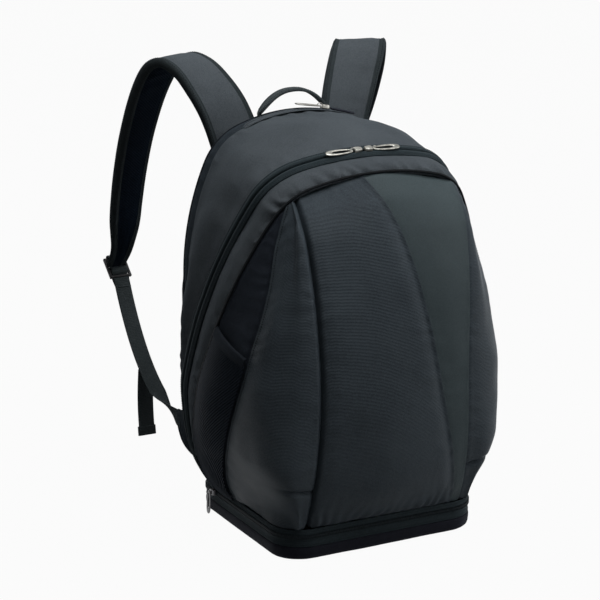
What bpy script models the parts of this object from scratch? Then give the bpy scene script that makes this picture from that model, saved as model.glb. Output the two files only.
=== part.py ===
"""Racket backpack: sewn fabric shells, zips, harness and inner boards. Metres, +Z up, front towards -Y."""
import math

import bmesh
import bpy
import numpy as np
from mathutils import Matrix, Vector

for old in list(bpy.data.objects):
    bpy.data.objects.remove(old, do_unlink=True)

# Driving dimensions of the pack
BASE_HALF_WIDTH = 0.134
BASE_FRONT = -0.122
BASE_BACK = 0.113
BASE_FRONT_RADIUS, BASE_REAR_RADIUS = 0.040, 0.030
BASE_WALL_TOP = 0.016
BASE_ZIP_TOP = 0.038
FOOT_Z = 0.0385
BACK_TOP = 0.489
SEAM_Y = 0.098
ZIP_TOP = 0.468
ZIP_TOP_Y = -0.061
ZIP_TILT = math.radians(26)
FRONT_TOP = 0.450
FABRIC = 0.0025
GAP = 0.0003
SEAM_ROOM = 0.0014
TAPE_HALF = 0.010
TAPE_THICK = 0.0015
LEG_POWER = 5.0
CROWN_STEPS, SHOULDER_STEPS, SIDE_STEPS, LEG_STEPS = 4, 7, 4, 6

# Crown radius, crown half angle, shoulder radius and shoulder end angle of each arch
BACK_ARCH = (0.22, math.radians(20), 0.080, math.radians(66))
ZIP_ARCH = (0.32, math.radians(15), 0.072, math.radians(70))
FRONT_ARCH = (0.30, math.radians(16), 0.070, math.radians(60))

# Harness
STRAP_THICK = 0.010
WEB_WIDTH, WEB_THICK = 0.022, 0.0016
HANDLE_HALF = 0.046
HANDLE_RISE = 0.026

COLOURS = {
    "body_fabric": ((0.045, 0.048, 0.052), 0.85, 0.0),
    "lining": ((0.020, 0.022, 0.026), 0.9, 0.0),
    "zip_tape": ((0.012, 0.016, 0.018), 0.8, 0.0),
    "mesh": ((0.018, 0.020, 0.024), 0.8, 0.0),
    "webbing": ((0.022, 0.023, 0.026), 0.75, 0.0),
    "board": ((0.10, 0.10, 0.11), 0.6, 0.0),
    "buckle": ((0.015, 0.015, 0.017), 0.4, 0.0),
    "nickel": ((0.62, 0.61, 0.56), 0.28, 1.0),
}


def material(name):
    """Principled material of one finish, made once."""
    if name in bpy.data.materials:
        return bpy.data.materials[name]
    colour, rough, metal = COLOURS[name]
    made = bpy.data.materials.new(name)
    made.use_nodes = True
    shader = made.node_tree.nodes["Principled BSDF"]
    shader.inputs["Base Color"].default_value = (*colour, 1.0)
    shader.inputs["Roughness"].default_value = rough
    shader.inputs["Metallic"].default_value = metal
    return made


def node(name, verts, faces, finish, place=None):
    """One closed body as an object, with its faces turned outward."""
    mesh = bpy.data.meshes.new(name)
    bm = bmesh.new()
    made = [bm.verts.new(v) for v in verts]
    for face in faces:
        bm.faces.new([made[i] for i in face])
    bmesh.ops.triangulate(bm, faces=bm.faces[:])
    bmesh.ops.recalc_face_normals(bm, faces=bm.faces[:])
    if bm.calc_volume(signed=True) < 0:
        bmesh.ops.reverse_faces(bm, faces=bm.faces[:])
    bm.to_mesh(mesh)
    bm.free()
    mesh.shade_smooth()
    mesh.set_sharp_from_angle(angle=math.radians(40))
    mesh.materials.append(material(finish))
    piece = bpy.data.objects.new(name, mesh)
    bpy.context.scene.collection.objects.link(piece)
    if place is not None:
        piece.matrix_world = place
    return piece


def smooth(t, keys):
    """Value at t of a smooth curve through (t, value) keys, held past both ends."""
    ts = [key[0] for key in keys]
    vs = [np.asarray(key[1], float) for key in keys]
    if t <= ts[0]:
        return vs[0]
    if t >= ts[-1]:
        return vs[-1]
    i = max(k for k in range(len(ts) - 1) if ts[k] <= t)

    def slope(k):
        low, high = max(k - 1, 0), min(k + 1, len(ts) - 1)
        return (vs[high] - vs[low]) / (ts[high] - ts[low])

    h = ts[i + 1] - ts[i]
    s = (t - ts[i]) / h
    start = (2 * s**3 - 3 * s**2 + 1) * vs[i] + (s**3 - 2 * s**2 + s) * h * slope(i)
    end = (3 * s**2 - 2 * s**3) * vs[i + 1] + (s**3 - s**2) * h * slope(i + 1)
    return start + end


def arch(half_width, crown_r, crown_a, shoulder_r, shoulder_a):
    """Right half of an arch as (x, drop): crown arc, shoulder arc, then a side arc to the widest point."""
    cx, cd = (crown_r - shoulder_r) * math.sin(crown_a), crown_r - (crown_r - shoulder_r) * math.cos(crown_a)
    side_r = (half_width - cx - shoulder_r * math.sin(shoulder_a)) / (1 - math.sin(shoulder_a))
    sx = cx + (shoulder_r - side_r) * math.sin(shoulder_a)
    sd = cd - (shoulder_r - side_r) * math.cos(shoulder_a)
    arcs = [(0.0, crown_r, crown_r, 0.0, crown_a, CROWN_STEPS),
            (cx, cd, shoulder_r, crown_a, shoulder_a, SHOULDER_STEPS),
            (sx, sd, side_r, shoulder_a, math.pi / 2, SIDE_STEPS)]
    points = [(0.0, 0.0)]
    for x0, d0, radius, start, end, steps in arcs:
        for k in range(1, steps + 1):
            a = start + (end - start) * k / steps
            points.append((x0 + radius * math.sin(a), d0 - radius * math.cos(a)))
    return points


def outline(half_width, form, top, tilt, foot_x, depth_keys, foot_z=FOOT_Z):
    """Whole sewing line, left foot over the crown to right foot, with its depth given by height."""
    half = [(x, top - drop * math.cos(tilt)) for x, drop in arch(half_width, *form)]
    wide_x, wide_z = half[-1]
    for k in range(1, LEG_STEPS + 1):
        t = k / LEG_STEPS
        half.append((foot_x + (wide_x - foot_x) * (1 - t**LEG_POWER), wide_z + (foot_z - wide_z) * t))
    right = [(x, float(smooth(z, depth_keys)), z) for x, z in half]
    left = [(-x, y, z) for x, y, z in reversed(right[1:])]
    return np.array(left + right)


def loft(first, last, rows, swell=0.0):
    """Grid of points between two sewing lines, swollen outward at its middle and flat at its feet."""
    middle = np.array([0.0, 0.0, 0.24])
    from_foot = np.minimum(np.arange(len(first)), np.arange(len(first))[::-1])
    swell = swell * np.minimum(1.0, from_foot / LEG_STEPS)[:, None]
    along = np.gradient(first, axis=0)
    across = last - first
    out = np.cross(along, across)
    out /= np.linalg.norm(out, axis=1, keepdims=True)
    out *= np.sign(np.sum(out * (0.5 * (first + last) - middle), axis=1, keepdims=True))
    steps = np.linspace(0, 1, rows + 1)
    return np.array([first + across * s + out * swell * math.sin(math.pi * s)**2 for s in steps])


def outward(grid, centre=(0.0, 0.0, 0.24)):
    """Unit normals of a grid of points, turned away from the pack's middle."""
    normal = np.cross(np.gradient(grid, axis=0), np.gradient(grid, axis=1))
    normal /= np.linalg.norm(normal, axis=2, keepdims=True)
    facing = np.sign(np.sum(normal * (grid - np.array(centre)), axis=2).mean())
    return normal * facing


def pull_in(grid, row_start=GAP, row_end=GAP, col_start=GAP, col_end=GAP):
    """Draw the four borders of a grid in by the given widths."""
    grid = grid.copy()
    for axis, start, end in ((0, row_start, row_end), (1, col_start, col_end)):
        lines = np.swapaxes(grid, 0, axis)
        for border, beside, width in ((0, 1, start), (-1, -2, end)):
            step = lines[beside] - lines[border]
            lines[border] += step / np.linalg.norm(step, axis=1, keepdims=True) * width
    return grid


def rim(rows, cols):
    """Numbers of a grid's border points, once round."""
    border = list(range(cols)) + [r * cols + cols - 1 for r in range(1, rows)]
    border += [(rows - 1) * cols + c for c in range(cols - 2, -1, -1)]
    return border + [r * cols for r in range(rows - 2, 0, -1)]


def squares(rows, cols):
    """Four-cornered faces of a grid of points."""
    return [[r * cols + c, r * cols + c + 1, (r + 1) * cols + c + 1, (r + 1) * cols + c]
            for r in range(rows - 1) for c in range(cols - 1)]


def shell(name, grid, finish, thick=FABRIC, lift=0.0, normals=None, **borders):
    """Fabric sheet with thickness: the grid is its outer face, raised by lift."""
    normals = outward(grid) if normals is None else normals
    outer = pull_in(grid, **borders) + normals * np.broadcast_to(lift, grid.shape[:2])[..., None]
    inner = outer - normals * thick
    rows, cols = grid.shape[:2]
    count = rows * cols
    verts = [tuple(p) for p in outer.reshape(-1, 3)] + [tuple(p) for p in inner.reshape(-1, 3)]
    faces = squares(rows, cols)
    faces += [[i + count for i in reversed(quad)] for quad in faces]
    border = rim(rows, cols)
    faces += [[b, a, a + count, b + count] for a, b in zip(border, border[1:] + border[:1])]
    return node(name, verts, faces, finish)


def prism(name, low, high, finish, place=None):
    """Closed body between two rings of equal count, capped at both ends."""
    count = len(low)
    faces = [list(range(count)), list(range(2 * count - 1, count - 1, -1))]
    for i in range(count):
        j = (i + 1) % count
        faces.append([i, j, j + count, i + count])
    return node(name, list(low) + list(high), faces, finish, place)


def sweep(name, rings, finish, place=None):
    """Closed body through a row of equal rings, capped at both ends."""
    count = len(rings[0])
    verts = [tuple(p) for ring in rings for p in ring]
    faces = [list(range(count)), list(range(len(verts) - 1, len(verts) - count - 1, -1))]
    for r in range(len(rings) - 1):
        for i in range(count):
            j = (i + 1) % count
            faces.append([r * count + i, r * count + j, (r + 1) * count + j, (r + 1) * count + i])
    return node(name, verts, faces, finish, place)


def ring_plate(name, outer, inner, thick, finish, place):
    """Flat plate with one hole: outlines of equal count in its own XY plane."""
    count = len(outer)
    verts = [(x, y, z) for z in (0.0, thick) for x, y in list(outer) + list(inner)]
    low_out, low_in, top_out, top_in = (range(k * count, (k + 1) * count) for k in range(4))
    faces = []
    for i in range(count):
        j = (i + 1) % count
        for first, second in ((low_out, low_in), (top_in, top_out), (top_out, low_out), (low_in, top_in)):
            faces.append([first[i], first[j], second[j], second[i]])
    return node(name, verts, faces, finish, place)


def inset(points, width):
    """Flat outline in X and Z drawn inward by a width."""
    flat = points[:, [0, 2]]
    along = np.gradient(flat, axis=0)
    side = np.stack([along[:, 1], -along[:, 0]], axis=1)
    side /= np.linalg.norm(side, axis=1, keepdims=True)
    moved = flat + side * width
    moved[0, 1] = moved[-1, 1] = FOOT_Z + 0.001
    return moved


def plate(name, flat, front, back, finish):
    """Upright sheet of an arch outline between two depths."""
    prism(name, [(x, front, z) for x, z in flat], [(x, back, z) for x, z in flat], finish)


# Sewing lines, each given by its arch and by its depth at each height
back_edge = outline(0.150, BACK_ARCH, BACK_TOP, 0.0, 0.120, [(0.0, BASE_BACK), (1.0, BASE_BACK)])
band_seam = outline(0.153, BACK_ARCH, BACK_TOP, 0.0, 0.128, [(0.038, 0.1025), (0.08, SEAM_Y), (0.5, SEAM_Y)])
zip_plane = math.tan(ZIP_TILT)
zip_depth = [(0.038, 0.074), (0.075, 0.079), (0.13, 0.082)]
zip_depth += [(z, ZIP_TOP_Y + (ZIP_TOP - z) * zip_plane) for z in (0.18, 0.31, ZIP_TOP)]
zip_line = outline(0.166, ZIP_ARCH, ZIP_TOP, ZIP_TILT, 0.1335, zip_depth)
front_depth = [(0.038, 0.055), (0.09, 0.058), (0.13, 0.052), (0.19, 0.031), (0.23, 0.008), (0.27, -0.018),
               (0.31, -0.040), (0.355, -0.061), (0.402, -0.078), (0.437, -0.091), (FRONT_TOP, -0.095)]
front_line = outline(0.169, FRONT_ARCH, FRONT_TOP, math.radians(18), 0.1345, front_depth)
zip_axis = np.array([0.0, -math.cos(ZIP_TILT), -math.sin(ZIP_TILT)])


def tape_line(offset):
    """The zip line moved across its tape, forward for a positive offset, with its feet kept level."""
    moved = zip_line + zip_axis * offset
    moved[0, 2] = moved[-1, 2] = FOOT_Z
    return moved


# Back: padded panel, stiffener, divider, band and rear gusset
PAD_THICK, PAD_CROWN = 0.005, 0.0045
PAD_TOP, PAD_FADE = 0.405, 0.03
CHANNEL_LEVELS = (0.135, 0.225, 0.315)
SPINE_WIDTH, CHANNEL_WIDTH, CHANNEL_SHARE = 0.014, 0.010, 0.85


def pad_rise(x, z, f):
    """How far the pads of the back stand out, at a place and at a share of the half width."""
    crown = PAD_CROWN * (1 - abs(f)**4) * min(1.0, max(0.0, (PAD_TOP - z) / PAD_FADE))
    channel = math.exp(-(x / SPINE_WIDTH)**2)
    channel += sum(math.exp(-((z - level) / CHANNEL_WIDTH)**2) for level in CHANNEL_LEVELS)
    return crown * (1 - CHANNEL_SHARE * min(1.0, channel))


def back_panel():
    """Padded back panel: a flat yoke zone at the top, pads below with air channels between them."""
    half = back_edge[len(back_edge) // 2 + 1:][::-1]
    shares = np.linspace(-1, 1, 19)
    rear = [[(f * x, y + GAP + PAD_THICK + pad_rise(f * x, z, f), z) for f in shares] for x, y, z in half]
    rows, cols = len(rear), len(shares)
    border = rim(rows, cols)
    verts = [point for row in rear for point in row]
    front = len(verts)
    verts += [(verts[i][0], BASE_BACK + GAP, verts[i][2]) for i in border]
    faces = squares(rows, cols)
    ring = list(enumerate(border))
    for (m, a), (n, b) in zip(ring, ring[1:] + ring[:1]):
        faces.append([b, a, front + m, front + n])
    faces.append([front + m for m in range(len(border))])
    node("back_panel", verts, faces, "lining")


back_panel()
plate("back_board", inset(back_edge, 0.007), BASE_BACK - 0.0022, BASE_BACK - 0.0005, "board")
plate("divider_panel", inset(band_seam, 0.0045), SEAM_Y - 0.0065, SEAM_Y - 0.0030, "lining")
shell("rear_band", loft(back_edge, band_seam, 2), "body_fabric", row_end=SEAM_ROOM, col_start=0, col_end=0)
rear_tape_edge = tape_line(-TAPE_HALF)
front_tape_edge = tape_line(TAPE_HALF)
shell("rear_gusset", loft(band_seam, rear_tape_edge, 5, 0.008), "body_fabric", row_start=SEAM_ROOM,
      row_end=SEAM_ROOM, col_start=0, col_end=0)
shell("main_zip_tape_rear", loft(rear_tape_edge, zip_line, 1), "zip_tape", thick=TAPE_THICK,
      row_start=SEAM_ROOM, col_start=0, col_end=0)


# Base: moulded tray, stiffener board, zip round it, floor of the main compartment
def base_ring(drawn_in, z, steps=6):
    """Rounded rectangle of the base, drawn in by a width."""
    ring = []
    corners = [(1, BASE_BACK, BASE_REAR_RADIUS, 0), (-1, BASE_BACK, BASE_REAR_RADIUS, 90),
               (-1, BASE_FRONT, BASE_FRONT_RADIUS, 180), (1, BASE_FRONT, BASE_FRONT_RADIUS, 270)]
    for hand, end, radius, start in corners:
        cx = hand * (BASE_HALF_WIDTH - radius)
        cy = end - math.copysign(radius, end)
        for k in range(steps + 1):
            a = math.radians(start + 90 * k / steps)
            ring.append((cx + (radius - drawn_in) * math.cos(a), cy + (radius - drawn_in) * math.sin(a), z))
    return ring


TRAY_FLOOR = 0.003
TRAY_EDGE = [(0.006, 0.0), (0.0012, 0.0018), (0.0, 0.006), (0.0, BASE_WALL_TOP)]
tray_outside = [base_ring(drawn_in, z) for drawn_in, z in TRAY_EDGE]
tray_inside = [base_ring(FABRIC, BASE_WALL_TOP), base_ring(FABRIC, TRAY_FLOOR)]
sweep("base_tray", tray_outside + tray_inside, "body_fabric")
BOARD_THICK, BOARD_ROOM = 0.002, 0.004
board_low = TRAY_FLOOR + GAP
prism("base_board", base_ring(BOARD_ROOM, board_low), base_ring(BOARD_ROOM, board_low + BOARD_THICK), "board")


def band_ring(name, z_low, z_high, thick, finish):
    """Upright strip all round the base."""
    outer_low, outer_high = base_ring(0.0, z_low), base_ring(0.0, z_high)
    inner_low, inner_high = base_ring(thick, z_low), base_ring(thick, z_high)
    count = len(outer_low)
    faces = []
    for i in range(count):
        j = (i + 1) % count
        for a, b in ((0, 1), (1, 3), (3, 2), (2, 0)):
            faces.append([a * count + i, a * count + j, b * count + j, b * count + i])
    node(name, outer_low + outer_high + inner_low + inner_high, faces, finish)


band_ring("base_zip_tape", BASE_WALL_TOP + GAP, BASE_ZIP_TOP, 0.0016, "zip_tape")
FLOOR_Z, FLOOR_THICK = 0.108, 0.0025
FLOOR_WIDE, FLOOR_DEEP, FLOOR_SHIFT = 0.86, 0.84, -0.006
floor_low = [(x * FLOOR_WIDE, y * FLOOR_DEEP + FLOOR_SHIFT, z) for x, y, z in base_ring(BOARD_ROOM, FLOOR_Z)]
floor_high = [(x, y, z + FLOOR_THICK) for x, y, z in floor_low]
prism("compartment_floor", floor_low, floor_high, "lining")


# Front: gusset strip ahead of the zip, piping, and the panels of the opening lid
shell("main_zip_tape_front", loft(zip_line, front_tape_edge, 1), "zip_tape", thick=TAPE_THICK, col_start=0,
      col_end=0)
PIPING_ROOM = 0.0036
shell("front_gusset", loft(front_tape_edge, front_line, 2, 0.002), "body_fabric", row_end=PIPING_ROOM,
      col_start=0, col_end=0)


def tube(name, path, radius, sides, finish):
    """Round cord along a path."""
    rings = []
    for k, point in enumerate(path):
        ahead = path[min(k + 1, len(path) - 1)] - path[max(k - 1, 0)]
        ahead = ahead / np.linalg.norm(ahead)
        side = np.cross(ahead, (0.0, 1.0, 0.0))
        side /= np.linalg.norm(side)
        up = np.cross(side, ahead)
        turn = [2 * math.pi * i / sides for i in range(sides)]
        rings.append([point + radius * (math.cos(a) * side + math.sin(a) * up) for a in turn])
    sweep(name, rings, finish)


PIPING_FOOT_SHARE = 0.09
piping_path = front_line.copy()
for end, beside in ((0, 1), (-1, -2)):
    piping_path[end] += PIPING_FOOT_SHARE * (piping_path[beside] - piping_path[end])
tube("front_piping", piping_path, 0.0018, 6, "zip_tape")

# Control lines of the front, by height: side edge of the front panel, rounded corner, pocket seam, centre
EDGE_LINE = [(0.0385, (0.1345, 0.000)), (0.06, (0.147, 0.000)), (0.097, (0.158, -0.016)),
             (0.126, (0.165, -0.035)), (0.17, (0.169, -0.060)), (0.215, (0.167, -0.080)),
             (0.245, (0.162, -0.087)), (0.29, (0.151, -0.096)), (0.333, (0.1395, -0.0965)),
             (0.375, (0.1290, -0.091)), (0.403, (0.1205, -0.089)), (0.4224, (0.1125, -0.0865))]
CORNER_LINE = [(0.0385, (0.118, -0.1103)), (0.055, (0.121, -0.1125)), (0.075, (0.130, -0.116)),
               (0.095, (0.141, -0.119)), (0.126, (0.151, -0.123)), (0.21, (0.148, -0.125)),
               (0.24, (0.142, -0.1235)), (0.305, (0.131, -0.120)), (0.357, (0.118, -0.114)),
               (0.400, (0.1108, -0.103)), (0.4259, (0.1085, -0.0873))]
GROOVE_LINE = [(0.0385, (0.103, -0.1195)), (0.07, (0.103, -0.130)), (0.12, (0.101, -0.142)),
               (0.20, (0.098, -0.146)), (0.30, (0.101, -0.140)), (0.38, (0.105, -0.123)),
               (0.405, (0.1055, -0.110)), (0.4292, (0.104, -0.0885))]
CENTRE_LINE = [(0.0385, (0.0, -0.123)), (0.07, (0.0, -0.143)), (0.12, (0.0, -0.153)), (0.20, (0.0, -0.156)),
               (0.28, (0.0, -0.151)), (0.36, (0.0, -0.141)), (0.42, (0.0, -0.120)), (0.449, (0.0, -0.0955))]
FOLD_LINE = [(0.0, 0.85), (0.085, 0.78), (0.245, 0.46), (0.384, 0.10), (0.46, -0.28)]
ROW_HEIGHTS = [FOOT_Z, 0.052, 0.068, 0.085, 0.11, 0.145, 0.19, 0.235, 0.28, 0.32, 0.355, 0.383, 0.402]
CROWN_HEIGHTS = (0.418, 0.4224, 0.4259, 0.4292, 0.449)
LAST_ROW = "crown"


def front_controls(height):
    """Nine points across the front at one height, left to right; the crown row is the front line."""
    if height == LAST_ROW:
        heights = CROWN_HEIGHTS
    else:
        lift = 0.006 * max(0.0, (height - 0.33) / 0.09)
        heights = (height, height, height, height + lift * 0.3, height + lift)
    half = [(front_x(heights[0]), float(smooth(heights[0], front_depth)), heights[0])]
    for line, z in zip((EDGE_LINE, CORNER_LINE, GROOVE_LINE, CENTRE_LINE), heights[1:]):
        x, y = smooth(z, line)
        half.append((float(x), float(y), z))
    return np.array(half + [(-x, y, z) for x, y, z in reversed(half[:-1])])[::-1]


def front_x(z):
    """Half width of the front line at a height."""
    right = front_line[len(front_line) // 2:]
    return float(np.interp(z, right[::-1, 2], right[::-1, 0]))


def front_row(height, stations):
    """Points across the front at one height, at stations counted in control points from the left."""
    points = front_controls(height)
    keys = list(enumerate(points))
    return [smooth(t, keys) for t in stations]


def front_grid(stations_of, heights):
    """Grid over part of the front, top row first, with stations that may change with height."""
    rows = []
    for height in reversed(heights):
        z = 0.44 if height == LAST_ROW else height
        rows.append(front_row(height, stations_of(z)))
    return np.array(rows)


def fold_station(z):
    """Station of the slanted fold of the centre panel, at a height."""
    return 4.0 + float(smooth(z, FOLD_LINE))


ALL_ROWS = ROW_HEIGHTS + [LAST_ROW]


def panel(name, stations_of, finish="body_fabric", heights=ALL_ROWS, **options):
    """One sewn panel of the front."""
    grid = front_grid(stations_of, heights)
    wide = front_grid(lambda z: [s + d for s in stations_of(z) for d in (-0.02, 0.02)], heights)
    along = wide[:, 1::2] - wide[:, 0::2]
    down = np.gradient(grid, axis=0)
    normals = np.cross(down, along)
    normals /= np.linalg.norm(normals, axis=2, keepdims=True)
    normals *= np.sign(np.sum(normals * (grid - np.array([0.0, 0.02, 0.24])), axis=2).mean())
    shell(name, grid, finish, normals=normals, row_start=PIPING_ROOM, row_end=GAP, **options)


SIDE_STATIONS = np.linspace(0.0, 1.0, 4)
SIDE_ROWS = ROW_HEIGHTS + [0.410]
FRONT_STATIONS = np.linspace(1.0, 3.0, 7)
panel("side_panel_left", lambda z: SIDE_STATIONS, "lining", SIDE_ROWS, col_start=PIPING_ROOM)
panel("side_panel_right", lambda z: 8.0 - SIDE_STATIONS[::-1], "lining", SIDE_ROWS, col_end=PIPING_ROOM)
panel("front_panel_left", lambda z: FRONT_STATIONS)
panel("front_panel_right", lambda z: 8.0 - FRONT_STATIONS[::-1])
panel("centre_panel", lambda z: np.linspace(3.0, fold_station(z), 7))
panel("wedge_panel", lambda z: np.linspace(fold_station(z), 5.0, 4))


# Side pockets of mesh, open at the top under an elastic hem
POCKET_ROWS = [FOOT_Z, 0.052, 0.068, 0.085, 0.11, 0.145, 0.19, 0.225, 0.243]
HEM_ROWS = [0.2365, 0.240, 0.2445]
POCKET_STATIONS = np.linspace(0.06, 0.985, 6)
HEM_SLANT = 0.026
POCKET_SWELL = 0.011
POCKET_ROOM = 0.0030


def pocket_grid(heights, mirror):
    """Grid over a side pocket: heights are at its front edge, and the hem climbs to the rear."""
    rows = []
    for height in reversed(heights):
        row = []
        for t in POCKET_STATIONS:
            rise = HEM_SLANT * (1 - t) * max(0.0, (height - FOOT_Z) / (0.243 - FOOT_Z))
            row.append(front_row(height + rise, [t])[0])
        rows.append(row)
    grid = np.array(rows)
    if mirror:
        grid = grid[:, ::-1] * np.array([-1.0, 1.0, 1.0])
    return grid


def pocket_swell(heights):
    """How far the mesh stands off the side panel, by row and station."""
    across = np.sin(math.pi * (POCKET_STATIONS - POCKET_STATIONS[0]) / np.ptp(POCKET_STATIONS))
    up = np.array([min(1.0, 1.6 * (h - FOOT_Z) / (0.243 - FOOT_Z)) for h in reversed(heights)])
    return POCKET_ROOM + POCKET_SWELL * np.outer(up, across)


for side, mirror in (("left", False), ("right", True)):
    swell = pocket_swell(POCKET_ROWS)
    hem = pocket_swell(HEM_ROWS) + 0.0022
    shell("mesh_pocket_" + side, pocket_grid(POCKET_ROWS, mirror), "mesh", thick=0.0012, lift=swell)
    shell("pocket_hem_" + side, pocket_grid(HEM_ROWS, mirror), "webbing", thick=0.0018, lift=hem)


# Harness: padded shoulder straps, wings, webbing, adjusters and hanging tails
STRAP_PATH = [(0.00, (0.068, 0.1243, 0.415)), (0.08, (0.073, 0.1245, 0.452)), (0.17, (0.084, 0.133, 0.490)),
              (0.24, (0.097, 0.146, 0.518)), (0.31, (0.111, 0.163, 0.540)), (0.37, (0.123, 0.184, 0.548)),
              (0.43, (0.132, 0.206, 0.537)), (0.52, (0.138, 0.233, 0.502)), (0.64, (0.141, 0.265, 0.445)),
              (0.75, (0.141, 0.290, 0.390)), (0.84, (0.141, 0.305, 0.342)), (0.91, (0.141, 0.314, 0.302)),
              (0.96, (0.141, 0.325, 0.276)), (1.00, (0.141, 0.345, 0.2525))]
STRAP_WIDTH = [(0.0, 0.060), (0.1, 0.066), (0.37, 0.066), (0.64, 0.060), (0.86, 0.053), (0.955, 0.023),
               (1.0, 0.020)]
STRAP_TURN = [(0.0, 0.0), (0.12, 0.0), (0.37, math.radians(19)), (0.6, math.radians(26)),
              (0.85, math.radians(20)), (0.95, 0.0), (1.0, 0.0)]
STRAP_SWAY = [(0.0, 0.0), (0.25, 0.004), (0.37, 0.010), (0.5, 0.020), (0.65, 0.021), (0.8, 0.010),
              (0.91, 0.0), (1.0, 0.0)]
STRAP_FILL = [(0, 0.8), (0.15, 1.0), (0.85, 1.0), (1.0, 0.45)]
STRAP_RINGS = 30
WING_TIP = Vector((0.141, 0.157, 0.100))
WING_ROOT_TOP = Vector((0.1425, 0.1203, 0.128))
WING_LOWER_EDGE = [Vector((0.139, 0.149, 0.072)), Vector((0.1345, 0.1345, 0.0595)),
                   Vector((0.1235, 0.1203, 0.048))]
WING_HALF_THICK = 0.0014
LOCK_AT = Vector((0.141, 0.3395, 0.2529))
LOCK_WAY = Vector((0, 0.75, 0.66)).normalized()
WEB_SAG = Vector((0, 0.010, -0.030))
TAIL_LENGTH = 0.090


def flat_ring(centre, wide, thick_way, width, thick):
    """Rounded flat section: eight points round a strap or webbing."""
    wide, thick_way = np.array(wide), np.array(thick_way)
    soft = min(width, thick) * 0.35
    ring = []
    for sx, sy in ((1, 1), (-1, 1), (-1, -1), (1, -1)):
        near, far = (width / 2 - soft, thick / 2), (width / 2, thick / 2 - soft)
        pair = (far, near) if sx * sy > 0 else (near, far)
        ring += [centre + wide * sx * a + thick_way * sy * b for a, b in pair]
    return ring


def strap_centre(t, hand):
    """Middle of a shoulder strap; the right one swings out a little as it falls behind the pack."""
    sway = float(smooth(t, STRAP_SWAY)) if hand > 0 else 0.0
    return np.array(smooth(t, STRAP_PATH)) + np.array([sway, 0.0, 0.0])


def strap_rings(hand):
    """Sections of a shoulder strap along its path, for the left (-1) or right (1) hand."""
    rings = []
    step = 0.004
    for k in range(STRAP_RINGS + 1):
        t = k / STRAP_RINGS
        centre = strap_centre(t, hand)
        ahead = strap_centre(t + step, hand) - strap_centre(t - step, hand)
        turn = float(smooth(t, STRAP_TURN))
        wide = np.array([-math.cos(turn), math.sin(turn), 0.0])
        wide -= ahead * (wide @ ahead) / (ahead @ ahead)
        wide /= np.linalg.norm(wide)
        face = np.cross(ahead, wide)
        face /= np.linalg.norm(face)
        thick = STRAP_THICK * float(smooth(t, STRAP_FILL))
        ring = flat_ring(centre, wide, face, float(smooth(t, STRAP_WIDTH)), thick)
        rings.append([np.array([p[0] * hand, p[1], p[2]]) for p in ring])
    return rings


def strip(name, path, wide, width, thick, finish, place=None, end_width=None):
    """Flat webbing along a path, with its two ends narrowed where that is asked."""
    rings = []
    wide = Vector(wide)
    full = width
    for k, point in enumerate(path):
        width = end_width if end_width and k in (0, len(path) - 1) else full
        ahead = (path[min(k + 1, len(path) - 1)] - path[max(k - 1, 0)]).normalized()
        face = ahead.cross(wide).normalized()
        rings.append([point + wide * (sx * width / 2) + face * (sy * thick / 2)
                      for sx, sy in ((1, 1), (-1, 1), (-1, -1), (1, -1))])
    return sweep(name, rings, finish, place)


def wing(name, hand):
    """Triangular anchor sewn into the lower back corner, drawn out to the webbing."""
    half_tip = Vector((0, 0, WEB_WIDTH / 2))
    edge = [WING_ROOT_TOP, WING_TIP + half_tip, WING_TIP - half_tip, *WING_LOWER_EDGE]
    low = [((p.x - WING_HALF_THICK) * hand, p.y, p.z) for p in edge]
    high = [((p.x + WING_HALF_THICK) * hand, p.y, p.z) for p in edge]
    prism(name, low, high, "body_fabric")


def lattice(name, xs, ys, holes, thick, finish, place):
    """Flat frame of bars: cells of a small grid, with some left open."""
    cells = {(i, j) for i in range(len(xs) - 1) for j in range(len(ys) - 1)} - set(holes)
    index = {}
    verts = []
    faces = []

    def corner(i, j, top):
        if (i, j, top) not in index:
            index[i, j, top] = len(verts)
            verts.append((xs[i], ys[j], thick / 2 if top else -thick / 2))
        return index[i, j, top]

    for i, j in sorted(cells):
        loop = [(i, j), (i + 1, j), (i + 1, j + 1), (i, j + 1)]
        faces.append([corner(*c, True) for c in loop])
        faces.append([corner(*c, False) for c in reversed(loop)])
        beside = [(i, j - 1), (i + 1, j), (i, j + 1), (i - 1, j)]
        for k, other in enumerate(beside):
            if other not in cells:
                a, b = loop[k], loop[(k + 1) % 4]
                faces.append([corner(*a, False), corner(*b, False), corner(*b, True), corner(*a, True)])
    return node(name, verts, faces, finish, place)


def axes(origin, x_way, y_way):
    """Placement with the given X and Y directions."""
    x_way = Vector(x_way).normalized()
    z_way = x_way.cross(Vector(y_way)).normalized()
    y_way = z_way.cross(x_way)
    turned = Matrix((x_way, y_way, z_way)).transposed().to_4x4()
    return Matrix.Translation(Vector(origin)) @ turned


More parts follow.
